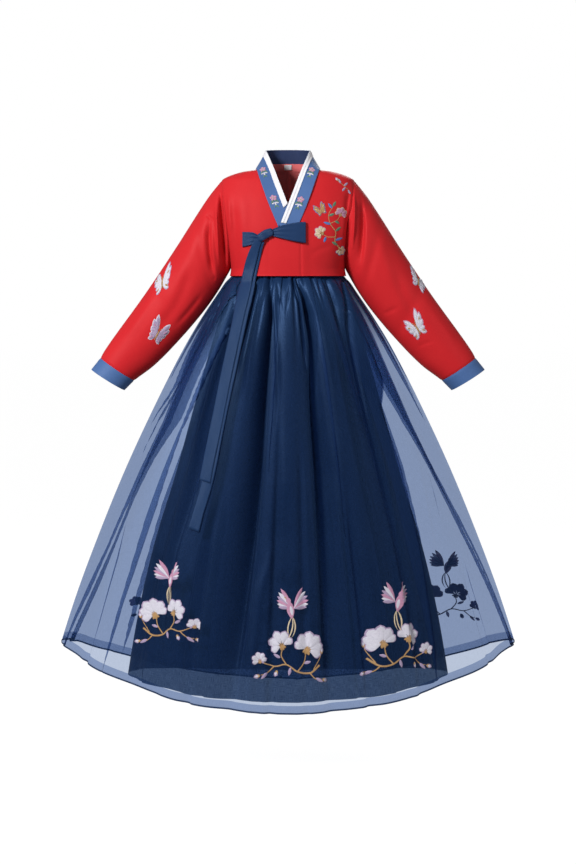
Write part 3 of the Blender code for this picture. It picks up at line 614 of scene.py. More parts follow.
def full_turn(count):
    return np.linspace(0, 2 * np.pi, count, endpoint=False)


def dense_ends(count, pull=0.8):
    """Shares from 0 to 1, closer together near both ends."""
    share = np.linspace(0, 1, count)
    return share - pull * np.sin(2 * np.pi * share) / (2 * np.pi)


def summed(steps):
    """The distances from a line's start to each of its points, from the steps between them."""
    return np.concatenate([[0], np.cumsum(steps)])


def distances(points):
    return summed(np.linalg.norm(np.diff(points, axis=0), axis=-1))


def along_line(points, shares):
    """Points at shares of the length of a line."""
    points = np.asarray(points, float)
    lengths = distances(points)
    at = np.asarray(shares) * lengths[-1]
    return np.stack([np.interp(at, lengths, column) for column in points.T], axis=-1)


def normals_of(grid, round_about=False):
    """Outward normals of a grid whose rows run down and columns left to right from outside."""
    right = np.gradient(grid, axis=1)
    if round_about:
        right = (np.roll(grid, -1, axis=1) - np.roll(grid, 1, axis=1)) / 2
    return unit(np.cross(right, -np.gradient(grid, axis=0)))


def edge_distance(grid, edge):
    """How far each point lies from an edge, measured along its row or column."""
    axis = 1 if edge in ("left", "right") else 0
    steps = np.linalg.norm(np.diff(grid, axis=axis), axis=-1)
    zeros = np.zeros_like(np.take(steps, [0], axis=axis))
    lengths = np.concatenate([zeros, np.cumsum(steps, axis=axis)], axis=axis)
    if edge in ("left", "top"):
        return lengths
    return np.take(lengths, [-1], axis=axis) - lengths


def with_seams(grid, edges, depth=0.0011, reach=0.0035, round_about=False, way=None):
    """The grid with its edges dipped in where they are sewn to their neighbours, along its
    normals or along a way that the neighbour shares."""
    sink = sum(depth * np.exp(-((edge_distance(grid, edge) / reach) ** 2)) for edge in edges)
    way = -normals_of(grid, round_about) if way is None else way
    return grid + way * sink[..., None]


def with_turned_hem(grid):
    """The grid with its lower edge standing out a little, where the cloth is turned up."""
    return with_seams(grid, ("bottom",), depth=-0.0005, reach=0.0025)


def to_armhole(grid):
    """Directions towards the middle of the armhole on the grid's own side."""
    side = np.sign(grid[..., :1].mean())
    return unit(np.array(ARMHOLE_MIDDLE) * (side, 1, 1) - grid)


def crease_sink(x, z, creases):
    """How far in each place is pressed by creases that bend along short straight steps."""
    sink = np.zeros_like(x)
    t = np.linspace(0, 1, CREASE_POINTS)[:, None]
    place = 1000 * np.stack([x, z], axis=-1)[..., None, :]
    for *ends, before, after, depth in creases:
        start, middle, end = np.reshape(ends, (3, 2))
        pull = 2 * middle - (start + end) / 2
        path = (1 - t) ** 2 * start + 2 * t * (1 - t) * pull + t**2 * end
        step = np.diff(path, axis=0)
        offset = place - path[:-1]
        share = np.clip((offset * step).sum(axis=-1) / (step**2).sum(axis=-1), 0, 1)
        offset -= share[..., None] * step
        away = np.hypot(offset[..., 0], offset[..., 1])
        nearest = np.argmin(away, axis=-1)[..., None]
        away, side, share = (
            np.take_along_axis(part, nearest, axis=-1)[..., 0]
            for part in (away, offset[..., 0], share)
        )
        along = (nearest[..., 0] + share) / len(step)
        taper = eased(along / CREASE_TAPER) * eased((1 - along) / CREASE_TAPER)
        shape = np.exp(-((away / np.where(side < 0, before, after)) ** 2))
        sink += depth / 1000 * shape * (CREASE_END_DEPTH + (1 - CREASE_END_DEPTH) * taper)
    return sink


def creased(grid):
    """The grid with the jacket's creases pressed into it from the front and the back. The way
    in is the same for all the pieces, so that their edges stay together."""
    x, y, z = np.moveaxis(grid, -1, 0)
    front = eased(-y / CREASE_FADE) * crease_sink(x, z, FRONT_CREASES)
    back = eased(y / CREASE_FADE) * crease_sink(x, z, BACK_CREASES)
    return grid + (front - back)[..., None] * (0, 1, 0)


def mirrored(grid):
    """The grid on the wearer's other side, with its columns turned to run the same way."""
    return grid[:, ::-1] * (-1, 1, 1)


# ---------------------------------------------------------------- materials


def add_node(tree, kind, settings=None, **inputs):
    """A node with its settings, and its inputs by name: numbers, colours or other sockets."""
    node = tree.nodes.new(kind)
    for name, value in (settings or {}).items():
        setattr(node, name, value)
    for name, value in inputs.items():
        key = int(name[1:]) if name[0] == "_" else name.replace("_", " ")
        if isinstance(value, bpy.types.NodeSocket):
            tree.links.new(value, node.inputs[key])
        else:
            node.inputs[key].default_value = value
    return node


def math_node(tree, operation, *values):
    inputs = {f"_{i}": value for i, value in enumerate(values)}
    return add_node(tree, "ShaderNodeMath", {"operation": operation}, **inputs).outputs[0]


def weave_height(tree, uv, weave, thread):
    """The height of the threads: plain, satin or twill, a thread's pitch in metres."""
    split = add_node(tree, "ShaderNodeSeparateXYZ", _0=uv)
    u, v = (
        math_node(tree, "MULTIPLY", split.outputs[axis], 2 * math.pi / thread) for axis in "XY"
    )
    if weave == "plain":
        return math_node(
            tree, "MULTIPLY", math_node(tree, "SINE", u), math_node(tree, "SINE", v)
        )
    return math_node(tree, "SINE", math_node(tree, "ADD", u, v) if weave == "twill" else u)


def stretched_noise(tree, uv, across, down, detail):
    """Noise over the cloth with so many spots to a metre across and down."""
    vector = add_node(tree, "ShaderNodeMapping", _0=uv, Scale=(across, down, 1)).outputs[0]
    noise = add_node(tree, "ShaderNodeTexNoise", Vector=vector, Scale=1.0, Detail=detail)
    return noise.outputs[0]


def cloth_material(
    name, light, dark, roughness, weave="plain", thread=0.0006, relief=0.00006, slub=0.5,
    sheen=0.2, sheen_tint=(1, 1, 1), anisotropic=0.0, specular=0.25, gloss_tint=(1, 1, 1),
    seen_through=None, cover=1.0, cover_at_top=None,
):
    """Woven cloth: two close colours mixed along uneven threads, and a woven relief. Thin cloth
    lets through light of a tint between its threads, which cover a share of it. Where it is
    gathered into a band at its top, its fine gathers lie closer and cover more."""
    material = bpy.data.materials.new(name)
    material.use_nodes = True
    tree = material.node_tree
    shader = tree.nodes["Principled BSDF"]
    uv = add_node(tree, "ShaderNodeTexCoord").outputs["UV"]

    warp = stretched_noise(tree, uv, 1400, 60, 2.0)
    weft = stretched_noise(tree, uv, 60, 1400, 2.0)
    blotch = stretched_noise(tree, uv, 14, 9, 3.0)
    threads = math_node(tree, "ADD", warp, weft)
    threads = math_node(tree, "MULTIPLY_ADD", threads, slub, 0.5 - slub)
    mix_by = math_node(tree, "MULTIPLY_ADD", blotch, 0.8, -0.4)
    colour = add_node(
        tree, "ShaderNodeMix", {"data_type": "RGBA", "clamp_factor": True},
        _0=math_node(tree, "ADD", threads, mix_by), _6=(*dark, 1.0), _7=(*light, 1.0),
    )
    height = math_node(
        tree, "MULTIPLY_ADD", threads, 1.2, weave_height(tree, uv, weave, thread)
    )
    bump = add_node(tree, "ShaderNodeBump", Strength=0.5, Distance=relief, Height=height)
    rough = add_node(
        tree, "ShaderNodeMapRange", Value=blotch, To_Min=roughness - 0.05,
        To_Max=roughness + 0.05,
    )
    tree.links.new(colour.outputs[2], shader.inputs["Base Color"])
    tree.links.new(bump.outputs[0], shader.inputs["Normal"])
    tree.links.new(rough.outputs[0], shader.inputs["Roughness"])
    for key, value in (
        ("Sheen Weight", sheen),
        ("Sheen Tint", (*sheen_tint, 1.0)),
        ("Sheen Roughness", 0.4),
        ("Anisotropic", anisotropic),
        ("Specular IOR Level", specular),
        ("Specular Tint", (*gloss_tint, 1.0)),
    ):
        shader.inputs[key].default_value = value
    if seen_through:
        gaps = add_node(tree, "ShaderNodeBsdfTransparent", Color=(*seen_through, 1.0))
        share = math_node(tree, "MULTIPLY_ADD", threads, cover * 0.6, cover * 0.7)
        if cover_at_top:
            down = add_node(tree, "ShaderNodeSeparateXYZ", _0=uv).outputs["Y"]
            closer = add_node(
                tree, "ShaderNodeMapRange", {"interpolation_type": "SMOOTHSTEP"}, Value=down,
                From_Min=-0.26, From_Max=-0.01, To_Min=0.0, To_Max=cover_at_top - cover,
            )
            share = math_node(tree, "ADD", share, closer.outputs[0])
        both = add_node(
            tree, "ShaderNodeMixShader", _0=share, _1=gaps.outputs[0], _2=shader.outputs[0]
        )
        tree.links.new(both.outputs[0], tree.nodes["Material Output"].inputs["Surface"])
    return material


MATERIALS = {
    "red": cloth_material(
        "red satin", (0.60, 0.022, 0.026), (0.50, 0.014, 0.020), 0.50, "satin", 0.0005,
        relief=0.00002, sheen=0.04, sheen_tint=(1.0, 0.35, 0.33), specular=0.14,
        gloss_tint=(1.0, 0.55, 0.55),
    ),
    # The jacket's inside: a pinker red lining, its brightness raised as painted light where little
    # light reaches in
    "red_lining": cloth_material(
        "red lining lightened as painted light", (0.80, 0.190, 0.190), (0.70, 0.130, 0.140), 0.60, sheen=0.05,
        specular=0.15,
    ),
    "blue": cloth_material(
        "blue rib", (0.075, 0.155, 0.360), (0.048, 0.108, 0.275), 0.55, "plain", 0.0009,
        relief=0.00005, sheen=0.06, sheen_tint=(0.75, 0.85, 1.0),
    ),
    # The inside faces of the collar and cuffs: the blue rib darkened, as painted shade
    "blue_lining": cloth_material(
        "blue inside darkened as painted shade", (0.034, 0.052, 0.130), (0.022, 0.036, 0.095), 0.60, "plain", 0.0007,
        sheen=0.03, specular=0.15,
    ),
    "navy": cloth_material(
        "navy lining", (0.0050, 0.015, 0.047), (0.0028, 0.0085, 0.029), 0.40, "satin", 0.0005,
        sheen=0.02, sheen_tint=(0.5, 0.7, 1.0), anisotropic=0.4, gloss_tint=(0.4, 0.62, 1.0),
        seen_through=(0.50, 0.70, 1.0), cover=0.88,
    ),
    "organza": cloth_material(
        "navy organza", (0.012, 0.034, 0.100), (0.006, 0.022, 0.068), 0.40, "plain", 0.0005,
        sheen=0.03, sheen_tint=(0.55, 0.72, 1.0), slub=0.8, specular=0.5, anisotropic=0.5,
        gloss_tint=(0.26, 0.48, 0.95), seen_through=(0.676, 0.765, 0.94), cover=0.32,
        cover_at_top=0.85,
    ),
    "hem": cloth_material(
        "rolled hem", (0.016, 0.040, 0.105), (0.010, 0.026, 0.075), 0.50, "twill", 0.0008,
        sheen=0.05, seen_through=(0.4, 0.55, 0.8), cover=0.75,
    ),
    "ribbon": cloth_material(
        "ribbon", (0.015, 0.042, 0.118), (0.009, 0.027, 0.082), 0.42, "twill", 0.0008,
        relief=0.0001, sheen=0.05, sheen_tint=(0.6, 0.75, 1.0), anisotropic=0.2,
        specular=0.22, gloss_tint=(0.6, 0.78, 1.0),
    ),
    "white": cloth_material("white strip", (0.84, 0.84, 0.87), (0.74, 0.74, 0.79), 0.55),
}
# The light and dark colour of each thread of the embroidery
THREADS = {
    "white": ((0.80, 0.78, 0.84), (0.58, 0.56, 0.68)),
    "lilac": ((0.52, 0.42, 0.58), (0.34, 0.24, 0.40)),
    "pink": ((0.66, 0.36, 0.50), (0.46, 0.20, 0.34)),
    "gold": ((0.58, 0.36, 0.16), (0.36, 0.19, 0.07)),
    "cream": ((0.80, 0.68, 0.50), (0.60, 0.46, 0.28)),
    "blue": ((0.12, 0.26, 0.62), (0.06, 0.14, 0.42)),
    "green": ((0.16, 0.30, 0.20), (0.07, 0.16, 0.10)),
}
for thread, colours in THREADS.items():
    MATERIALS[thread + "_thread"] = cloth_material(
        thread + " thread", *colours, 0.40, "satin", 0.0008, relief=0.00025, slub=0.7,
        sheen=0.15, anisotropic=0.5, seen_through=(0.8, 0.7, 0.8), cover=0.93,
    )

# ---------------------------------------------------------------- pieces


def make_mesh(name, points, faces, uvs, materials, indices=None):
    mesh = bpy.data.meshes.new(name)
    mesh.from_pydata(np.asarray(points).tolist(), [], np.asarray(faces).tolist())
    layer = mesh.uv_layers.new(name="UVMap")
    layer.data.foreach_set("uv", np.asarray(uvs, np.float32).ravel())
    for material in materials:
        mesh.materials.append(MATERIALS[material])
    if indices is not None:
        mesh.polygons.foreach_set("material_index", np.asarray(indices, np.int32))
    mesh.shade_smooth()
    thing = bpy.data.objects.new(name, mesh)
    bpy.context.scene.collection.objects.link(thing)
    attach(thing, "root")
    return thing


def grid_faces(rows, columns, round_about=False):
    """The faces of a grid of points, and the column and row of each face's corners."""
    last = columns if round_about else columns - 1
    r, c = np.meshgrid(np.arange(rows - 1), np.arange(last), indexing="ij")
    steps = ((0, 0), (0, 1), (1, 1), (1, 0))
    corners = [np.stack([c + right, r + below], -1) for right, below in steps]
    places = np.stack(corners, axis=-2).reshape(-1, 2)
    return (places[:, 1] * columns + places[:, 0] % columns).reshape(-1, 4), places


def add_sheet(name, grid, material, wall=0.0, round_about=False, width=None, inside=None):
    """A sheet of cloth. The grid is its outer face, and its wall lies behind, with another
    material on its inside face where one is named."""
    faces, places = grid_faces(*grid.shape[:2], round_about)
    ring = np.concatenate([grid, grid[:, :1]], axis=1) if round_about else grid
    across = summed(np.linalg.norm(np.diff(ring, axis=1), axis=-1).mean(axis=0))
    down = summed(np.linalg.norm(np.diff(grid, axis=0), axis=-1).mean(axis=1))
    if width:
        across *= width / across[-1]
    uvs = np.stack([across[places[:, 0]], -down[places[:, 1]]], axis=-1)
    materials = [material, inside] if inside else [material]
    thing = make_mesh(name, grid.reshape(-1, 3), faces, uvs, materials)
    if wall:
        solid = thing.modifiers.new("Wall", "SOLIDIFY")
        solid.material_offset = len(materials) - 1
        solid.thickness = wall
        solid.offset = -1.0
        solid.use_quality_normals = True
    return thing


def add_cloth(node, grid, slot, wall=0.0, **options):
    """A sheet that stands for a CAD node and is named after it."""
    thing = add_sheet(node + "_cloth", grid, slot, wall, **options)
    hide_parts(node)


# The jacket


def neckline(start, end=NECK_SIDE_ALONG):
    """Points (x, z) of the jacket's upper edge, just under the collar's outer edge, from the
    middle towards the side. They never turn back, although the body narrows at the neck."""
    along = np.linspace(start, end, EDGE_POINTS)
    x, y, z = np.moveaxis(collar_point(along, NECKLINE_ACROSS), -1, 0)
    power = SQUARENESS / 2
    ahead = (np.abs(y) / body_depth(z, y > 0)) ** power
    bearing = np.degrees(np.arctan2((x / body_width(z)) ** power, ahead))
    rise = 0.0002 * np.arange(len(z))
    return np.stack([np.maximum.accumulate(bearing_x(bearing, z) - rise) + rise, z], axis=-1)


def shoulder_line():
    z = np.linspace(0, 1, EDGE_POINTS) ** 2 * SHOULDER_TIP_Z
    return np.stack([body_width(z), z], axis=-1)


def hem_line(start_x, shares, behind):
    """The x of places on the jacket's hem, at shares of its length from a start to the side."""
    side_x = SIDE_LINE(JACKET_HEM_Z)
    xs = side_x - (side_x - start_x) * np.linspace(1, 0, 400) ** 2
    along = distances(body_at_x(xs, JACKET_HEM_Z, behind))
    return np.interp(shares * along[-1], along, xs)


def hanging(top, hem, rows):
    """Grids of x and z from an upper edge of points (x, z) down to a hem, given by its x. Each
    column keeps near its share of the way to the side."""
    down = dense_ends(rows, 0.6)[:, None]
    z = top[:, 1] + (JACKET_HEM_Z - top[:, 1]) * down
    start, end = top[:, 0] / SIDE_LINE(top[:, 1]), hem / SIDE_LINE(JACKET_HEM_Z)
    return (start + (end - start) * down) * SIDE_LINE(z), z


def panel(top, start_x, behind=False, over=False):
    """A front or back, from its upper edge down to the hem. One that lies over the other front
    rises towards the middle."""
    rows, columns = PANEL_GRID
    shares = dense_ends(columns)
    top = along_line([*top, *shoulder_line()], shares)
    x, z = hanging(top, hem_line(start_x, shares, behind), rows)
    lift = OVER_FRONT * eased((OVER_START_X - x) / OVER_RISE_WIDTH) if over else 0.0
    grid = body_at_x(x, z, behind, lift)
    on_shoulder = (top[:, 1] <= 0) & (top[:, 0] > 0.99 * body_width(top[:, 1]))
    grid[0, on_shoulder] = np.insert(top[on_shoulder], 1, 0.0, axis=1)
    return grid


def panel_seams(grid, armhole, others=()):
    """The creases of a panel, its turned hem and the dips of its armhole edge, its shoulder
    edge and its other seams."""
    grid = with_turned_hem(creased(grid))
    grid = with_seams(grid, (armhole,), way=to_armhole(grid))
    grid = with_seams(grid, others) if others else grid
    dipped = with_seams(grid, ("top",), way=np.array([0.0, 0.0, -1.0]))
    shoulder = eased((np.abs(grid[:1, :, 0]) - SHOULDER_START_X) / 0.010)[..., None]
    return grid + (dipped - grid) * shoulder


def add_jacket_cloth(node, grid, slot="red", tube=False):
    # The inside face takes a red lightened as painted light, or a blue darkened as painted shade
    add_cloth(node, grid, slot, CLOTH, round_about=tube, inside=slot + "_lining")


def add_panels():
    neck = neckline(OVERLAP_SEAM_ALONG)
    neck[0, 0] = OVERLAP_SEAM_X
    left = panel(neck, OVERLAP_SEAM_X, over=True)
    add_jacket_cloth("body_front_left", panel_seams(left, "right", ("left",)))
    rows, columns = OVERLAP_GRID
    shares = dense_ends(columns)
    top = along_line([OVERLAP_TOP, neck[0]], shares)
    hem = OVERLAP_HEM_X + (OVERLAP_SEAM_X - OVERLAP_HEM_X) * shares
    overlap = body_at_x(*hanging(top, hem, rows), False, OVER_FRONT)
    add_jacket_cloth("overlap_panel", with_turned_hem(with_seams(creased(overlap), ("right",))))

    neck = neckline(COLLAR_END)
    hidden_top = (HIDDEN_EDGE_X, neck[0][1] - HIDDEN_EDGE_DROP)
    right = panel([hidden_top, *neck], HIDDEN_EDGE_X)
    add_jacket_cloth("body_front_right", panel_seams(mirrored(right), "left"))

    half = panel(neckline(0.0), 0.0, behind=True)[:, ::-1]
    add_jacket_cloth("body_back_left", panel_seams(half, "left", ("right",)))
    add_jacket_cloth("body_back_right", panel_seams(mirrored(half), "right", ("left",)))


def add_sleeves():
    rows, columns = SLEEVE_GRID
    sleeve = sleeve_point(dense_ends(rows, 0.7)[:, None] * CUFF_START, full_turn(columns))
    rows, columns = CUFF_GRID
    share = CUFF_START + (CUFF_END - CUFF_START) * dense_ends(rows)[:, None]
    cuff = sleeve_point(share, full_turn(columns))
    for side, inwards in (("left", -1), ("right", 1)):
        turned = mirrored if side == "right" else np.array
        cloth = creased(turned(sleeve))
        cloth = with_seams(cloth, ("top",), way=to_armhole(cloth))
        cloth = with_seams(cloth, ("bottom",), round_about=True)
        # The seam's turnings lie inside the body, so that no light shows through the seam
        inside = np.array([inwards * SEAM_TURNING, 0.0, 0.0])
        turning = cloth[:1] + to_armhole(cloth[:1]) * SEAM_TURNING_DROP
        cloth = np.concatenate([turning + inside, turning + inside / 3, cloth])
        add_jacket_cloth("sleeve_" + side, cloth, tube=True)
        cloth = with_seams(turned(cuff), ("top",), round_about=True)
        add_jacket_cloth("cuff_" + side, cloth, "blue", tube=True)


# The collar


def collar_grid(across, lift, under_end, over_end):
    """The collar's points. Its under end is slanted between an inner and outer distance."""
    inner_end, outer_end = under_end
    rows = []
    for share in across:
        start = outer_end + (inner_end - outer_end) * share
        along = np.linspace(over_end, -start, COLLAR_GRID[1])
        rows.append(collar_point(along, share, lift(share) + collar_rise(along)))
    return np.array(rows)


def strip_lift(share):
    """The strip is two layers, the narrower one on top, with a step between them."""
    return STRIP_LIFT + STRIP_LAYER * eased((share - STRIP_LAYER_SHARE) / 0.008)


def add_collar():
    across = 1 - dense_ends(COLLAR_GRID[0], 0.6)
    band = collar_grid(across, lambda share: 0.0, UNDER_COLLAR_END, COLLAR_END)
    # Its inside face is the blue darkened as painted shade
    add_cloth("collar", band, "blue", CLOTH, inside="blue_lining")
    shares = (1.0, 0.985, 0.93, 0.88, 0.865, 0.860, 0.855, 0.80, 0.74, 0.71, STRIP_SHARE)
    strip = collar_grid(shares, strip_lift, UNDER_STRIP_END, OVER_STRIP_END)
    add_cloth("collar_strip", strip, "white", THIN)


def add_label():
    rows, columns = LABEL_GRID
    x = np.linspace(LABEL_HALF_WIDTH, -LABEL_HALF_WIDTH, columns)
    z = np.linspace(LABEL_TOP_Z, LABEL_BOTTOM_Z, rows)[:, None]
    add_cloth("neck_label", body_at_x(x, z, True, -(CLOTH + STEP)), "white", THIN)


# The bow


def tail_grid(table, start, end):
    """A tail from where it leaves the knot to its slanted end."""
    rows, columns = TAIL_GRID
    z = np.linspace(start, end, rows)[:, None]
    across = np.linspace(-0.5, 0.5, columns)
    x, width, _ = table(z)
    x = x + across * width
    z = z - TAIL_SLANT * eased(1 - (z - end) / TAIL_SLANT_HEIGHT) * (across + 0.5)
    ripple = TAIL_RIPPLE * np.cos(2 * np.pi * across) * np.sin(z * 31)
    lift = table(np.maximum(z, end))[2] + ripple
    return np.stack([x, front_y(x, z, lift), z], axis=-1)


def loop_grid(table, lift, towards, steps=28, bend=10):
    """A flat loop of ribbon: out from the knot behind, round its fold and back in front."""
    share = np.linspace(0, 1, steps)
    angle = np.pi * np.arange(1, bend) / bend
    x, top, bottom, puff = table(share)
    rows = []
    for edge in np.linspace(0, 1, 15):
        z = top + (bottom - top) * edge
        gathered = LOOP_RIPPLE * (1 - share) ** 1.5 * np.cos(edge * 6 * np.pi)
        rear = body_at_x(x, z, False, lift)
        fold = body_at_x(x[-1], z[-1] + 0 * angle, False, lift + puff[-1] / 2 * (1 - np.cos(angle)))
        fold[:, 0] += towards * puff[-1] / 2 * np.sin(angle)
        front = body_at_x(x, z, False, lift + puff + gathered)[::-1]
        rows.append(np.vstack([rear, fold, front])[::-towards])
    return np.array(rows)


def knot_grid():
    """A blunt ellipsoid with the ridges of a ribbon wound round it."""
    rows, columns = KNOT_GRID
    ring = full_turn(columns)
    tilt = np.linspace(0.02, np.pi - 0.02, rows)[:, None]
    sphere = np.stack(
        [np.cos(tilt) + 0 * ring, np.sin(tilt) * np.cos(ring), np.sin(tilt) * np.sin(ring)], -1
    )
    shape = np.sign(sphere) * np.abs(sphere) ** KNOT_BLUNTNESS * np.array(KNOT_HALF)
    wound = shape[..., 0] / KNOT_HALF[0] + 0.25 * np.sin(ring)
    ridge = KNOT_RIDGE * np.sin(wound * 5.0) - KNOT_RIDGE / 2
    x, y, z = np.moveaxis(shape + sphere * ridge[..., None], -1, 0)
    cosine, sine = math.cos(KNOT_TILT), math.sin(KNOT_TILT)
    turned = np.stack([x * cosine - z * sine, y, x * sine + z * cosine], axis=-1)
    return turned + body_at_x(*KNOT_MIDDLE, False, OVER_FRONT + STEP + KNOT_HALF[1])


def add_bow():
    for node, grid in (
        ("bow_loop", loop_grid(LONG_LOOP, COLLAR_OVER + STEP, 1)),
        ("bow_short_loop", loop_grid(SHORT_LOOP, STEP, -1)),
        ("ribbon_tail_front", tail_grid(TAIL_FRONT, *TAIL_FRONT_ENDS)),
        ("ribbon_tail_rear", tail_grid(TAIL_REAR, *TAIL_REAR_ENDS)),
    ):
        add_cloth(node, grid, "ribbon", THIN)
    add_cloth("bow_knot", knot_grid(), "ribbon", round_about=True)


# The skirt


def column_bearings(shares):
    """Bearings from -90 to 90, at shares of the way round the organza at its middle height."""
    fine = np.radians(np.linspace(-90, 90, 721))
    half_width, half_depth, _ = ORGANZA(MIDDLE_Z)
    along = distances(np.stack([half_width * np.sin(fine), half_depth * np.cos(fine)], -1))
    return np.degrees(np.interp(shares * along[-1], along, fine))


def gather_depth(share, z, behind):
    """Small uneven gathers: narrow troughs between broader ridges, some reaching further."""
    phase = 2.1 if behind else 0.0
    wander = 0.34 * np.sin(2 * np.pi * 3.1 * share + phase)
    wander = wander + 0.18 * np.sin(2 * np.pi * 7.7 * share + 2 * phase)
    wave = (1 - np.cos(2 * np.pi * (GATHERS * share + wander))) / 2
    strength = 0.85 + 0.35 * np.sin(2 * np.pi * 4.3 * share + 1 + phase)
    flat = np.clip(np.minimum(share, 1 - share) * GATHERS, 0, 1)
    reach = 0.16 + 0.11 * np.sin(2 * np.pi * 5.7 * share + phase)
    fade = np.exp(-(((WAIST_Z - z) / reach) ** 2))
    return GATHER_DEPTH * wave**1.6 * strength * flat * fade


def pleated(bearing, z, turn):
    """Bearings and depths of cloth that doubles at each pleat: it runs on, back and on again."""
    depth = np.zeros_like(z)
    for row in ORGANZA_PLEATS:
        heights, middles, halves = np.array(sorted(row)).T
        middle = np.interp(1000 * z, heights, middles)
        middle = -(middle + BACK_PLEAT_SHIFT) if turn else middle
        half = np.maximum(np.interp(1000 * z, heights, halves), 1e-6)
        off = (bearing - middle) / half
        zone = 2.6  # the pleat's cloth comes from this many half widths each side
        inside = (np.abs(off) < zone) & (half > 0.05)
        doubled = np.interp(off, (-zone, -1, 1, zone), (-zone, 1, -1, zone))
        layer = np.interp(off, (-zone, -1.2, -0.8, 0.8, 1.2, zone), (0, 0, 0.3, 1.7, 2, 0))
        bearing = np.where(inside, middle + doubled * half, bearing)
        depth = depth + np.where(inside, layer * PLEAT_GAP, 0.0)
    return bearing, depth


def roll_grid(line):
    """A flattened roll of cloth along a line of points, its cross-section an upright oval."""
    way = unit(np.gradient(line, axis=0))
    up = unit(np.array([0.0, 0.0, 1.0]) - way * way[:, 2:])
    out = np.cross(way, up)
    half_height, half_width = HEM_ROLL_HALF
    sides = [
        line + up * half_height * math.sin(angle) + out * half_width * math.cos(angle)
        for angle in full_turn(8)
    ]
    return np.stack(sides, axis=1)


def skirt_layer(outline, hem, turn, organza):
    """Half of a skirt layer: the front, or with a turn of 180 degrees the back."""
    rows, columns = SKIRT_GRID if organza else LINING_GRID
    shares = np.linspace(0, 1, columns)
    bearing = column_bearings(shares)
    down = np.linspace(0, 1, rows)[:, None] ** 1.25  # closer together near the waist
    z = WAIST_Z + (hem_z(hem, bearing + turn) - WAIST_Z) * down
    depth = gather_depth(shares, z, bool(turn))
    if not organza:
        return skirt_point(outline, bearing + turn, z, depth, ripples=LINING_RIPPLES)
    bearing, sunk = pleated(bearing, z, turn)
    depth = depth + sunk
    turned = [
        skirt_point(outline, bearing[-1] + turn, z[-1] + up, depth[-1] + PLEAT_GAP)
        for up in (STEP, TURNED_HEM)
    ]
    return np.vstack([skirt_point(outline, bearing + turn, z, depth), turned])


def add_skirt():
    for side, turn in (("front", 0), ("back", 180)):
        organza = skirt_layer(ORGANZA, ORGANZA_HEM, turn, True)
        add_cloth("skirt_" + side, organza, "organza", width=1.60)
        roll = add_sheet(f"skirt_{side}_hem", roll_grid(organza[-3]), "hem", round_about=True)
        lining = skirt_layer(LINING, LINING_HEM, turn, False)
        add_cloth("lining_" + side, lining, "navy", width=1.10)

    rows, columns = BAND_GRID
    angle = full_turn(columns)
    z = np.linspace(BAND_TOP_Z, WAIST_Z + 0.0002, rows)[:, None]
    half_width, half_depth, middle = ORGANZA(WAIST_Z)
    x = (half_width - BAND_INSET) * np.sin(angle)
    y = middle - (half_depth - BAND_INSET) * np.cos(angle)
    band = np.stack(np.broadcast_arrays(x, y, z), axis=-1)
    add_cloth("waistband", band, "navy", BAND, round_about=True)


# Embroidery: each motif is drawn flat in mm, x to the right and y up as it is seen, as shapes of
# satin stitches, and then laid on the cloth


def stitched(line, halves, thread, height=0.9, base=0.0, columns=7):
    """A shape along a line of flat points, half as wide there as given, and rounded up."""
    way = unit(np.gradient(line, axis=0))
    side = np.stack([-way[:, 1], way[:, 0]], axis=-1)
    across = np.linspace(-1, 1, columns)
    halves = np.maximum(halves, 0.12)[:, None]
    flat = line[:, None] + side[:, None] * (across * halves)[..., None]
    along = distances(line)[:, None] + 0 * across
    raised = base + height * np.minimum(halves / 2.5, 1.0) * (1 - across**2)
    return flat, raised, np.stack([along, across * halves], axis=-1), thread


def petal(x, y, way, length, width, thread, blunt=1.0, bend=0.0, height=0.9, base=0.0):
    """A leaf-like shape from a point, in a direction in degrees that it may bend away from.
    The blunter it is, the nearer its widest place lies to its tip."""
    share = np.linspace(0, 1, 10)
    heading = np.radians(way + bend * share)
    steps = length / 9 * np.stack([np.cos(heading), np.sin(heading)], axis=-1)[:-1]
    line = np.vstack([[0, 0], np.cumsum(steps, axis=0)]) + (x, y)
    halves = width / 2 * np.sin(np.pi * np.clip(share, 0.004, 0.996) ** blunt) ** 0.7
    return stitched(line, halves, thread, height, base)


def petals(x, y, size, rows):
    """Petals from rows like the arguments of one, their places and sizes in shares of a size."""
    return [
        petal(x + size * right, y + size * up, way, size * length, size * width, *rest)
        for right, up, way, length, width, *rest in rows
    ]


def leaves(width, thread, *rows):
    """Leaves of one width and thread: x, y, direction and length of each."""
    return [petal(*row, width, thread, 0.9) for row in rows]


def smooth_line(points):
    """A Catmull-Rom curve through flat points."""
    points = np.asarray(points, float)
    points = np.vstack([2 * points[0] - points[1], points, 2 * points[-1] - points[-2]])
    t = np.linspace(0, 1, 8, endpoint=False)[:, None]
    line = [
        0.5 * (2 * b + (c - a) * t + (2 * a - 5 * b + 4 * c - d) * t**2
               + (3 * b - a - 3 * c + d) * t**3)
        for a, b, c, d in zip(points, points[1:], points[2:], points[3:])
    ]
    return np.vstack([*line, points[-2]])


def stems(*rows, thread="gold"):
    """Stems through flat points, each given after its widths at its start and its end."""
    shapes = []
    for start_width, end_width, *points in rows:
        line = along_line(smooth_line(points), np.linspace(0, 1, 5 * len(points)))
        halves = np.linspace(start_width, end_width, len(line)) / 2
        shapes.append(stitched(line, halves, thread, 0.7, columns=5))
    return shapes


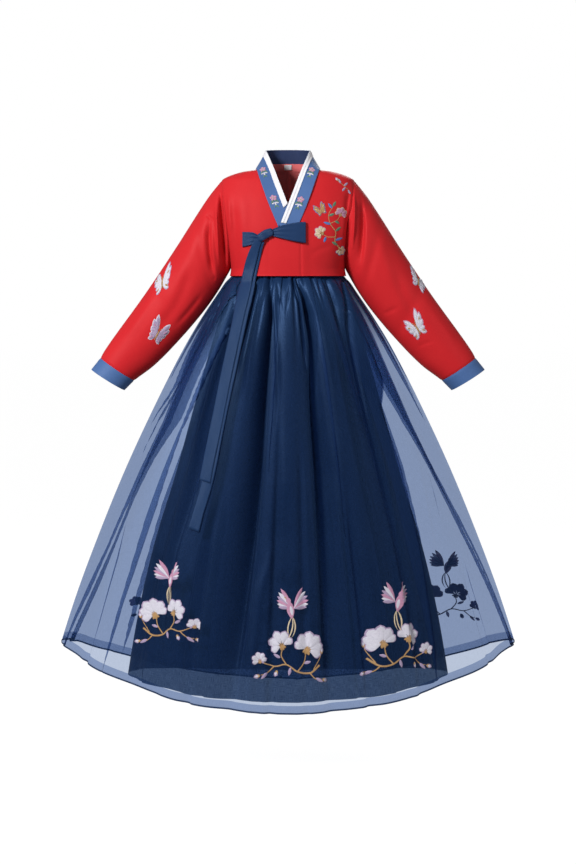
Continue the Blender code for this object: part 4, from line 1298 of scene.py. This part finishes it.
def blossom(x, y, way, size, inner="white", outer="lilac", count=5):
    """A flower seen from the side: rounded petals spread like a fan, each with an outline."""
    rows = []
    for k in range(count):
        share = k / (count - 1)
        turn = way + 170 * (share - 0.5)
        bulge = math.sin(math.pi * share)
        length, width, base = 0.62 + 0.16 * bulge, 0.40 + 0.06 * bulge, 0.35 * (k % 2)
        rows += [
            (0, 0, turn, length, width, outer, 2.2, 0, 0.5, base),
            (0, 0, turn, length * 0.93, width * 0.84, inner, 2.1, 0, 0.9, base + 0.3),
            (0, 0, turn, length * 0.30, width * 0.10, "gold", 1.0, 0, 0.9, base + 0.8),
        ]
    for side in (-42, 0, 42):
        rows.append((0, 0, way + 180 + side, 0.22, 0.13, "gold", 1.0, 0, 0.9, 0.8))
    return petals(x, y, size, rows)


def bud(x, y, way, size, inner="white", outer="lilac"):
    return petals(x, y, size, [
        (0, 0, way, 1, 0.62, outer, 1.2, 0, 0.6),
        (0, 0, way, 0.84, 0.36, inner, 1.3, 0, 0.9, 0.3),
        (0, 0, way + 24, 0.5, 0.24, "gold", 1.0, 0, 0.9, 0.5),
        (0, 0, way - 24, 0.5, 0.24, "gold", 1.0, 0, 0.9, 0.5),
    ])


def bird(x, y, size):
    """A small bird with both wings raised and a tail of thin streamers."""
    rows = [
        (0, -0.10, way, length, 0.034, "cream", 0.8, bend, 0.7)
        for way, length, bend in ((236, 0.56, 74), (258, 0.74, 60), (300, 0.66, -66))
    ]
    for side, first, last in ((1, 64, 8), (-1, 104, 166)):
        for k in range(6):
            way, length = first + (last - first) * k / 5, 0.56 - 0.22 * k / 5
            thread = ("pink", "white", "lilac")[k % 3]
            rows.append((side * 0.03, 0.10, way, length, 0.105, thread, 1.3, -side * 16, 0.9,
                         0.25 * (k % 2)))
    rows += [
        (0, -0.16, 76, 0.46, 0.19, "pink", 1.1, 0, 0.9, 0.8),  # body
        (0, -0.08, 76, 0.26, 0.09, "white", 1.0, 0, 0.9, 1.3),  # breast
        (0.065, 0.22, 50, 0.17, 0.13, "pink", 1.1, 0, 0.9, 1.0),  # head
        (0.155, 0.33, 28, 0.09, 0.035, "gold", 0.7, 0, 0.9, 1.0),  # beak
    ]
    return petals(x, y, size, rows)


def butterfly(x, y, size, main, edge, spot, way=90):
    """A butterfly with its wings open, its body pointing along a direction. Each wing is a fan
    of pointed shapes, laid on wider ones that show as its edge."""
    rows = []
    for side in (-1, 1):
        for angle, length, width in (
            (36, 0.78, 0.24), (54, 0.66, 0.26), (76, 0.48, 0.24), (112, 0.38, 0.22), (140, 0.44, 0.20)
        ):
            heading, bend = way + side * angle, -side * 16
            rows.append((0, 0, heading, length, width, edge, 1.5, bend, 0.5))
            rows.append((0, 0, heading, length * 0.92, width * 0.76, main, 1.45, bend, 0.9, 0.45))
        for angle, reach in ((50, 0.34), (128, 0.20)):
            heading = way + side * angle
            at = reach * math.cos(math.radians(heading)), reach * math.sin(math.radians(heading))
            rows.append((*at, heading, 0.16, 0.07, spot, 1.0, 0, 0.9, 1.2))
        rows.append((0, 0.12, way - side * 12, 0.34, 0.026, "gold", 1.0, -side * 46, 0.6))
    tail = -0.24 * math.cos(math.radians(way)), -0.24 * math.sin(math.radians(way))
    rows.append((*tail, way, 0.46, 0.085, "gold", 1.1, 0, 0.9, 1.3))
    return petals(x, y, size, rows)


def skirt_spray():
    """A blossom branch with a bird over it, about 150 mm by 190 mm."""
    shapes = stems(
        (4.4, 2.2, (-66, -62), (-44, -80), (-16, -78), (10, -64), (38, -70), (70, -60)),
        (3.2, 2.0, (-16, -78), (-30, -58), (-34, -34)),
        (3.2, 2.0, (10, -64), (22, -46), (20, -28)),
        (3.0, 1.6, (38, -70), (54, -86), (66, -90)),
        (2.8, 1.6, (-44, -80), (-58, -92), (-72, -92)),
        (2.4, 1.4, (-52, -72), (-64, -50), (-68, -40)),
    )
    shapes += leaves(
        7, "lilac", (-58, -90, 205, 20), (52, -84, -48, 20), (0, -70, -80, 18),
        (24, -50, 20, 18), (-30, -60, 160, 16), (60, -64, 38, 18),
    )
    shapes += blossom(-36, -30, 112, 54, count=6)
    shapes += blossom(22, -24, 58, 46)
    shapes += blossom(70, -60, 70, 27)
    for x, y, way in ((-69, -38, 100), (68, -91, -20), (-74, -93, 190), (30, -78, -70)):
        shapes += bud(x, y, way, 15)
    return shapes + bird(2, 50, 88)


def chest_spray():
    """Blossoms and leaves on a curved twig, with a butterfly, about 90 mm by 140 mm."""
    shapes = stems(
        (3.4, 1.4, (30, -64), (14, -44), (16, -16), (0, 8), (-4, 34), (8, 56)),
        (2.4, 1.2, (15, -30), (-8, -30), (-24, -20)),
        (2.4, 1.2, (0, 8), (20, 18), (30, 34)),
    )
    for thread, *leaf in (
        ("green", 22, -54, 150, 20), ("blue", 15, -40, 20, 22), ("green", 16, -14, 40, 20),
        ("blue", 2, 6, 165, 22), ("green", -4, 30, 20, 18), ("blue", 6, 52, 130, 18),
        ("green", 8, 56, 60, 18), ("blue", -12, -30, 250, 17), ("green", 14, 16, -30, 15),
    ):
        shapes += leaves(7.5, thread, leaf)
    shapes += blossom(-24, -20, 148, 30, "cream", "pink")
    shapes += blossom(30, 34, 70, 28, "pink", "cream")
    shapes += blossom(28, -66, -50, 24, "cream", "blue")
    return shapes + butterfly(-26, 44, 36, "gold", "blue", "cream", 118)


def shoulder_sprig():
    shapes = stems((2.0, 1.2, (-16, 16), (-2, 4), (14, -10)))
    shapes += leaves(6, "lilac", (-8, 9, 120, 15), (0, 2, 40, 15), (4, -2, 230, 14), (12, -9, -60, 13))
    return shapes + bud(-16, 16, 130, 12, "white", "pink")


def collar_flower():
    shapes = leaves(4.5, "green", (0, -3, -50, 14), (0, -3, -130, 14))
    shapes += leaves(3.4, "white", (0, -12, -20, 9), (0, -12, -160, 9), (0, -12, -90, 9))
    shapes += leaves(3.2, "green", (0, -18, -60, 9), (0, -18, -120, 9))
    shapes += stems((1.3, 0.9, (0, 0), (0.6, -12), (0, -21)), thread="green")
    for k in range(5):
        shapes.append(petal(0, 0, 90 + 72 * k, 8.5, 6.5, "pink", 1.5, base=0.2 * (k % 2)))
        shapes.append(petal(0, 0, 90 + 72 * k, 5.0, 1.6, "white", 1.2, base=0.7))
    return shapes + [petal(-1.8, 0, 0, 3.6, 3.4, "gold", base=1.2)]


def sew(name, shapes, surface, scale=1.0, turn=0.0, flip=1):
    """One piece of all a motif's shapes, laid on a surface: a function that turns places to
    the right and up, in metres, and a lift into points."""
    cosine, sine = math.cos(math.radians(turn)), math.sin(math.radians(turn))
    points, faces, uvs, indices, count = [], [], [], [], 0
    for flat, raised, stitches, thread in shapes:
        u, v = flat[..., 0] * flip * scale / 1000, flat[..., 1] * scale / 1000
        laid = surface(u * cosine - v * sine, u * sine + v * cosine,
                       LOWEST_STITCH + raised * scale / 1000)
        if flip < 0:
            laid, stitches = laid[:, ::-1], stitches[:, ::-1]
        corners, places = grid_faces(*laid.shape[:2])
        points.append(laid.reshape(-1, 3))
        faces.append(corners + count)
        uvs.append(stitches[places[:, 1], places[:, 0]] * scale / 1000)
        indices += [list(THREADS).index(thread)] * len(corners)
        count += len(points[-1])
    threads = [thread + "_thread" for thread in THREADS]
    motif = make_mesh(name, np.vstack(points), np.vstack(faces), np.vstack(uvs), threads, indices)


def on_skirt(x0, z0, turn):
    """The organza round a place on the front, or on the back with a turn of 180 degrees."""
    def surface(u, v, lift):
        x = -(x0 + u) if turn else x0 + u
        bearing = np.degrees(np.arcsin(x / ORGANZA(z0 + v)[0]))
        return skirt_point(ORGANZA, bearing + turn, z0 + v, -lift)
    return surface


def on_front(x0, z0):
    return lambda u, v, lift: creased(body_at_x(x0 + u, z0 + v, False, lift))


def on_sleeve(side, share0, angle0):
    """The front of a sleeve, its right-hand direction up across the wearer's left sleeve."""
    def surface(u, v, lift):
        angle = angle0 + side * u / SLEEVE_RADIUS
        return creased(sleeve_point(share0 - v / SLEEVE_LENGTH, angle, lift) * (side, 1, 1))
    return surface


def on_collar(side, along0, across0):
    def surface(u, v, lift):
        along = side * (along0 - v)
        return collar_point(along, across0 - side * u / COLLAR_WIDTH, lift + collar_rise(along))
    return surface


# Motifs on the skirt: x, z of the middle in metres | turn to the back | scale | tilt | flip
SKIRT_MOTIFS = (
    (-0.2950, -1.0150, 0, 0.94, 3, 1),
    (0.0100, -1.0850, 0, 1.06, -3, -1),
    (0.2580, -1.0720, 0, 1.04, 4, 1),
    (-0.3220, -1.0150, 180, 0.9, -5, -1),
    (0.0000, -1.0800, 180, 1.0, 2, 1),
    (0.3980, -1.0200, 180, 0.9, 6, 1),
)
# Butterflies on the sleeves: the wearer's side | share along | angle in radians | size in mm |
# wings, their edges and spots | turn
SLEEVE_MOTIFS = (
    (-1, 0.500, 5.46, 68, "white", "lilac", "gold", 62),
    (-1, 0.674, 4.42, 66, "lilac", "white", "pink", 14),
    (1, 0.520, 5.72, 64, "white", "lilac", "pink", -70),
    (1, 0.649, 4.52, 68, "white", "pink", "gold", -8),
)
# x and z of the middles of the motifs on the left front
CHEST_SPRAY_AT = (0.0990, -0.1360)
SHOULDER_SPRIG_AT = (0.1320, -0.0420)
# Flowers on the collar: the wearer's side | metres along | share across
COLLAR_FLOWERS = ((-1, 0.160, 0.35), (-1, 0.242, 0.36), (1, 0.163, 0.42), (1, 0.248, 0.43))


def add_embroidery():
    for k, (x, z, turn, scale, tilt, flip) in enumerate(SKIRT_MOTIFS):
        name = f"skirt_embroidery_{'back' if turn else 'front'}_{k}"
        sew(name, skirt_spray(), on_skirt(x, z, turn), scale, tilt, flip)
    for k, (side, share, angle, size, *colours, way) in enumerate(SLEEVE_MOTIFS):
        name = f"sleeve_embroidery_{'left' if side > 0 else 'right'}_{k}"
        sew(name, butterfly(0, 0, size, *colours), on_sleeve(side, share, angle), turn=way)
    sew("chest_embroidery", chest_spray(), on_front(*CHEST_SPRAY_AT), 0.82)
    sew("shoulder_embroidery", shoulder_sprig(), on_front(*SHOULDER_SPRIG_AT), 0.85)
    for k, place in enumerate(COLLAR_FLOWERS):
        sew(f"collar_embroidery_{k}", collar_flower(), on_collar(*place))


# ---------------------------------------------------------------- stage

FLOOR_Z = -1.42
FLOOR_RADIUS = 30.0


def add_stage():
    """A pale round floor that lights nothing from below."""
    sides = 64
    ring = [
        (FLOOR_RADIUS * math.cos(angle), FLOOR_RADIUS * math.sin(angle), FLOOR_Z)
        for angle in full_turn(sides)
    ]
    mesh = bpy.data.meshes.new("floor")
    faces = [(0, k + 1, (k + 1) % sides + 1) for k in range(sides)]
    mesh.from_pydata([(0, 0, FLOOR_Z), *ring], [], faces)
    floor = bpy.data.objects.new("floor", mesh)
    material = bpy.data.materials.new("pale floor")
    material.use_nodes = True
    shader = material.node_tree.nodes["Principled BSDF"]
    for key, value in (
        ("Base Color", (0.05, 0.05, 0.05, 1)), ("Roughness", 0.9),
        ("Emission Color", (1, 1, 1, 1)), ("Emission Strength", 0.965),
    ):
        shader.inputs[key].default_value = value
    mesh.materials.append(material)
    floor.visible_diffuse = floor.visible_glossy = False
    bpy.context.scene.collection.objects.link(floor)


def add_aimed(name, data, place, target):
    """A light or camera at a place, pointing at a target."""
    thing = bpy.data.objects.new(name, data)
    thing.location = place
    way = Vector(target) - thing.location
    thing.rotation_euler = way.to_track_quat("-Z", "Y").to_euler()
    bpy.context.scene.collection.objects.link(thing)
    return thing


def add_camera():
    data = bpy.data.cameras.new("camera")
    data.sensor_width = 36.0
    data.lens = 95.49
    data.clip_end = 100
    camera = add_aimed("camera", data, (0.0, -5.5, -0.25), (0.0, 0.0, -0.6269))
    bpy.context.scene.camera = camera


def add_lights():
    for name, place, target, size, power in (
        ("key", (-2.8, -3.6, 1.8), (0, 0, -0.5), 1.2, 270),
        ("fill", (3.2, -3.2, 0.6), (0, 0, -0.4), 2.4, 32),
        ("rim", (0.6, 3.4, 1.6), (0, 0, -0.5), 2.2, 50),
    ):
        data = bpy.data.lights.new(name, "AREA")
        data.shape = "DISK"
        data.size = size
        data.energy = power
        add_aimed(name, data, place, target)
    world = bpy.data.worlds.new("studio")
    world.use_nodes = True
    tree = world.node_tree
    background = tree.nodes["Background"]
    seen = add_node(tree, "ShaderNodeLightPath").outputs["Is Camera Ray"]
    strength = add_node(tree, "ShaderNodeMapRange", Value=seen, To_Min=0.24, To_Max=1.0)
    background.inputs["Color"].default_value = (1, 1, 1, 1)
    tree.links.new(strength.outputs[0], background.inputs["Strength"])
    bpy.context.scene.world = world
    bpy.context.scene.view_settings.view_transform = "Standard"


add_camera()
add_lights()
add_stage()
add_panels()
add_sleeves()
add_collar()
add_label()
add_bow()
add_skirt()
add_embroidery()
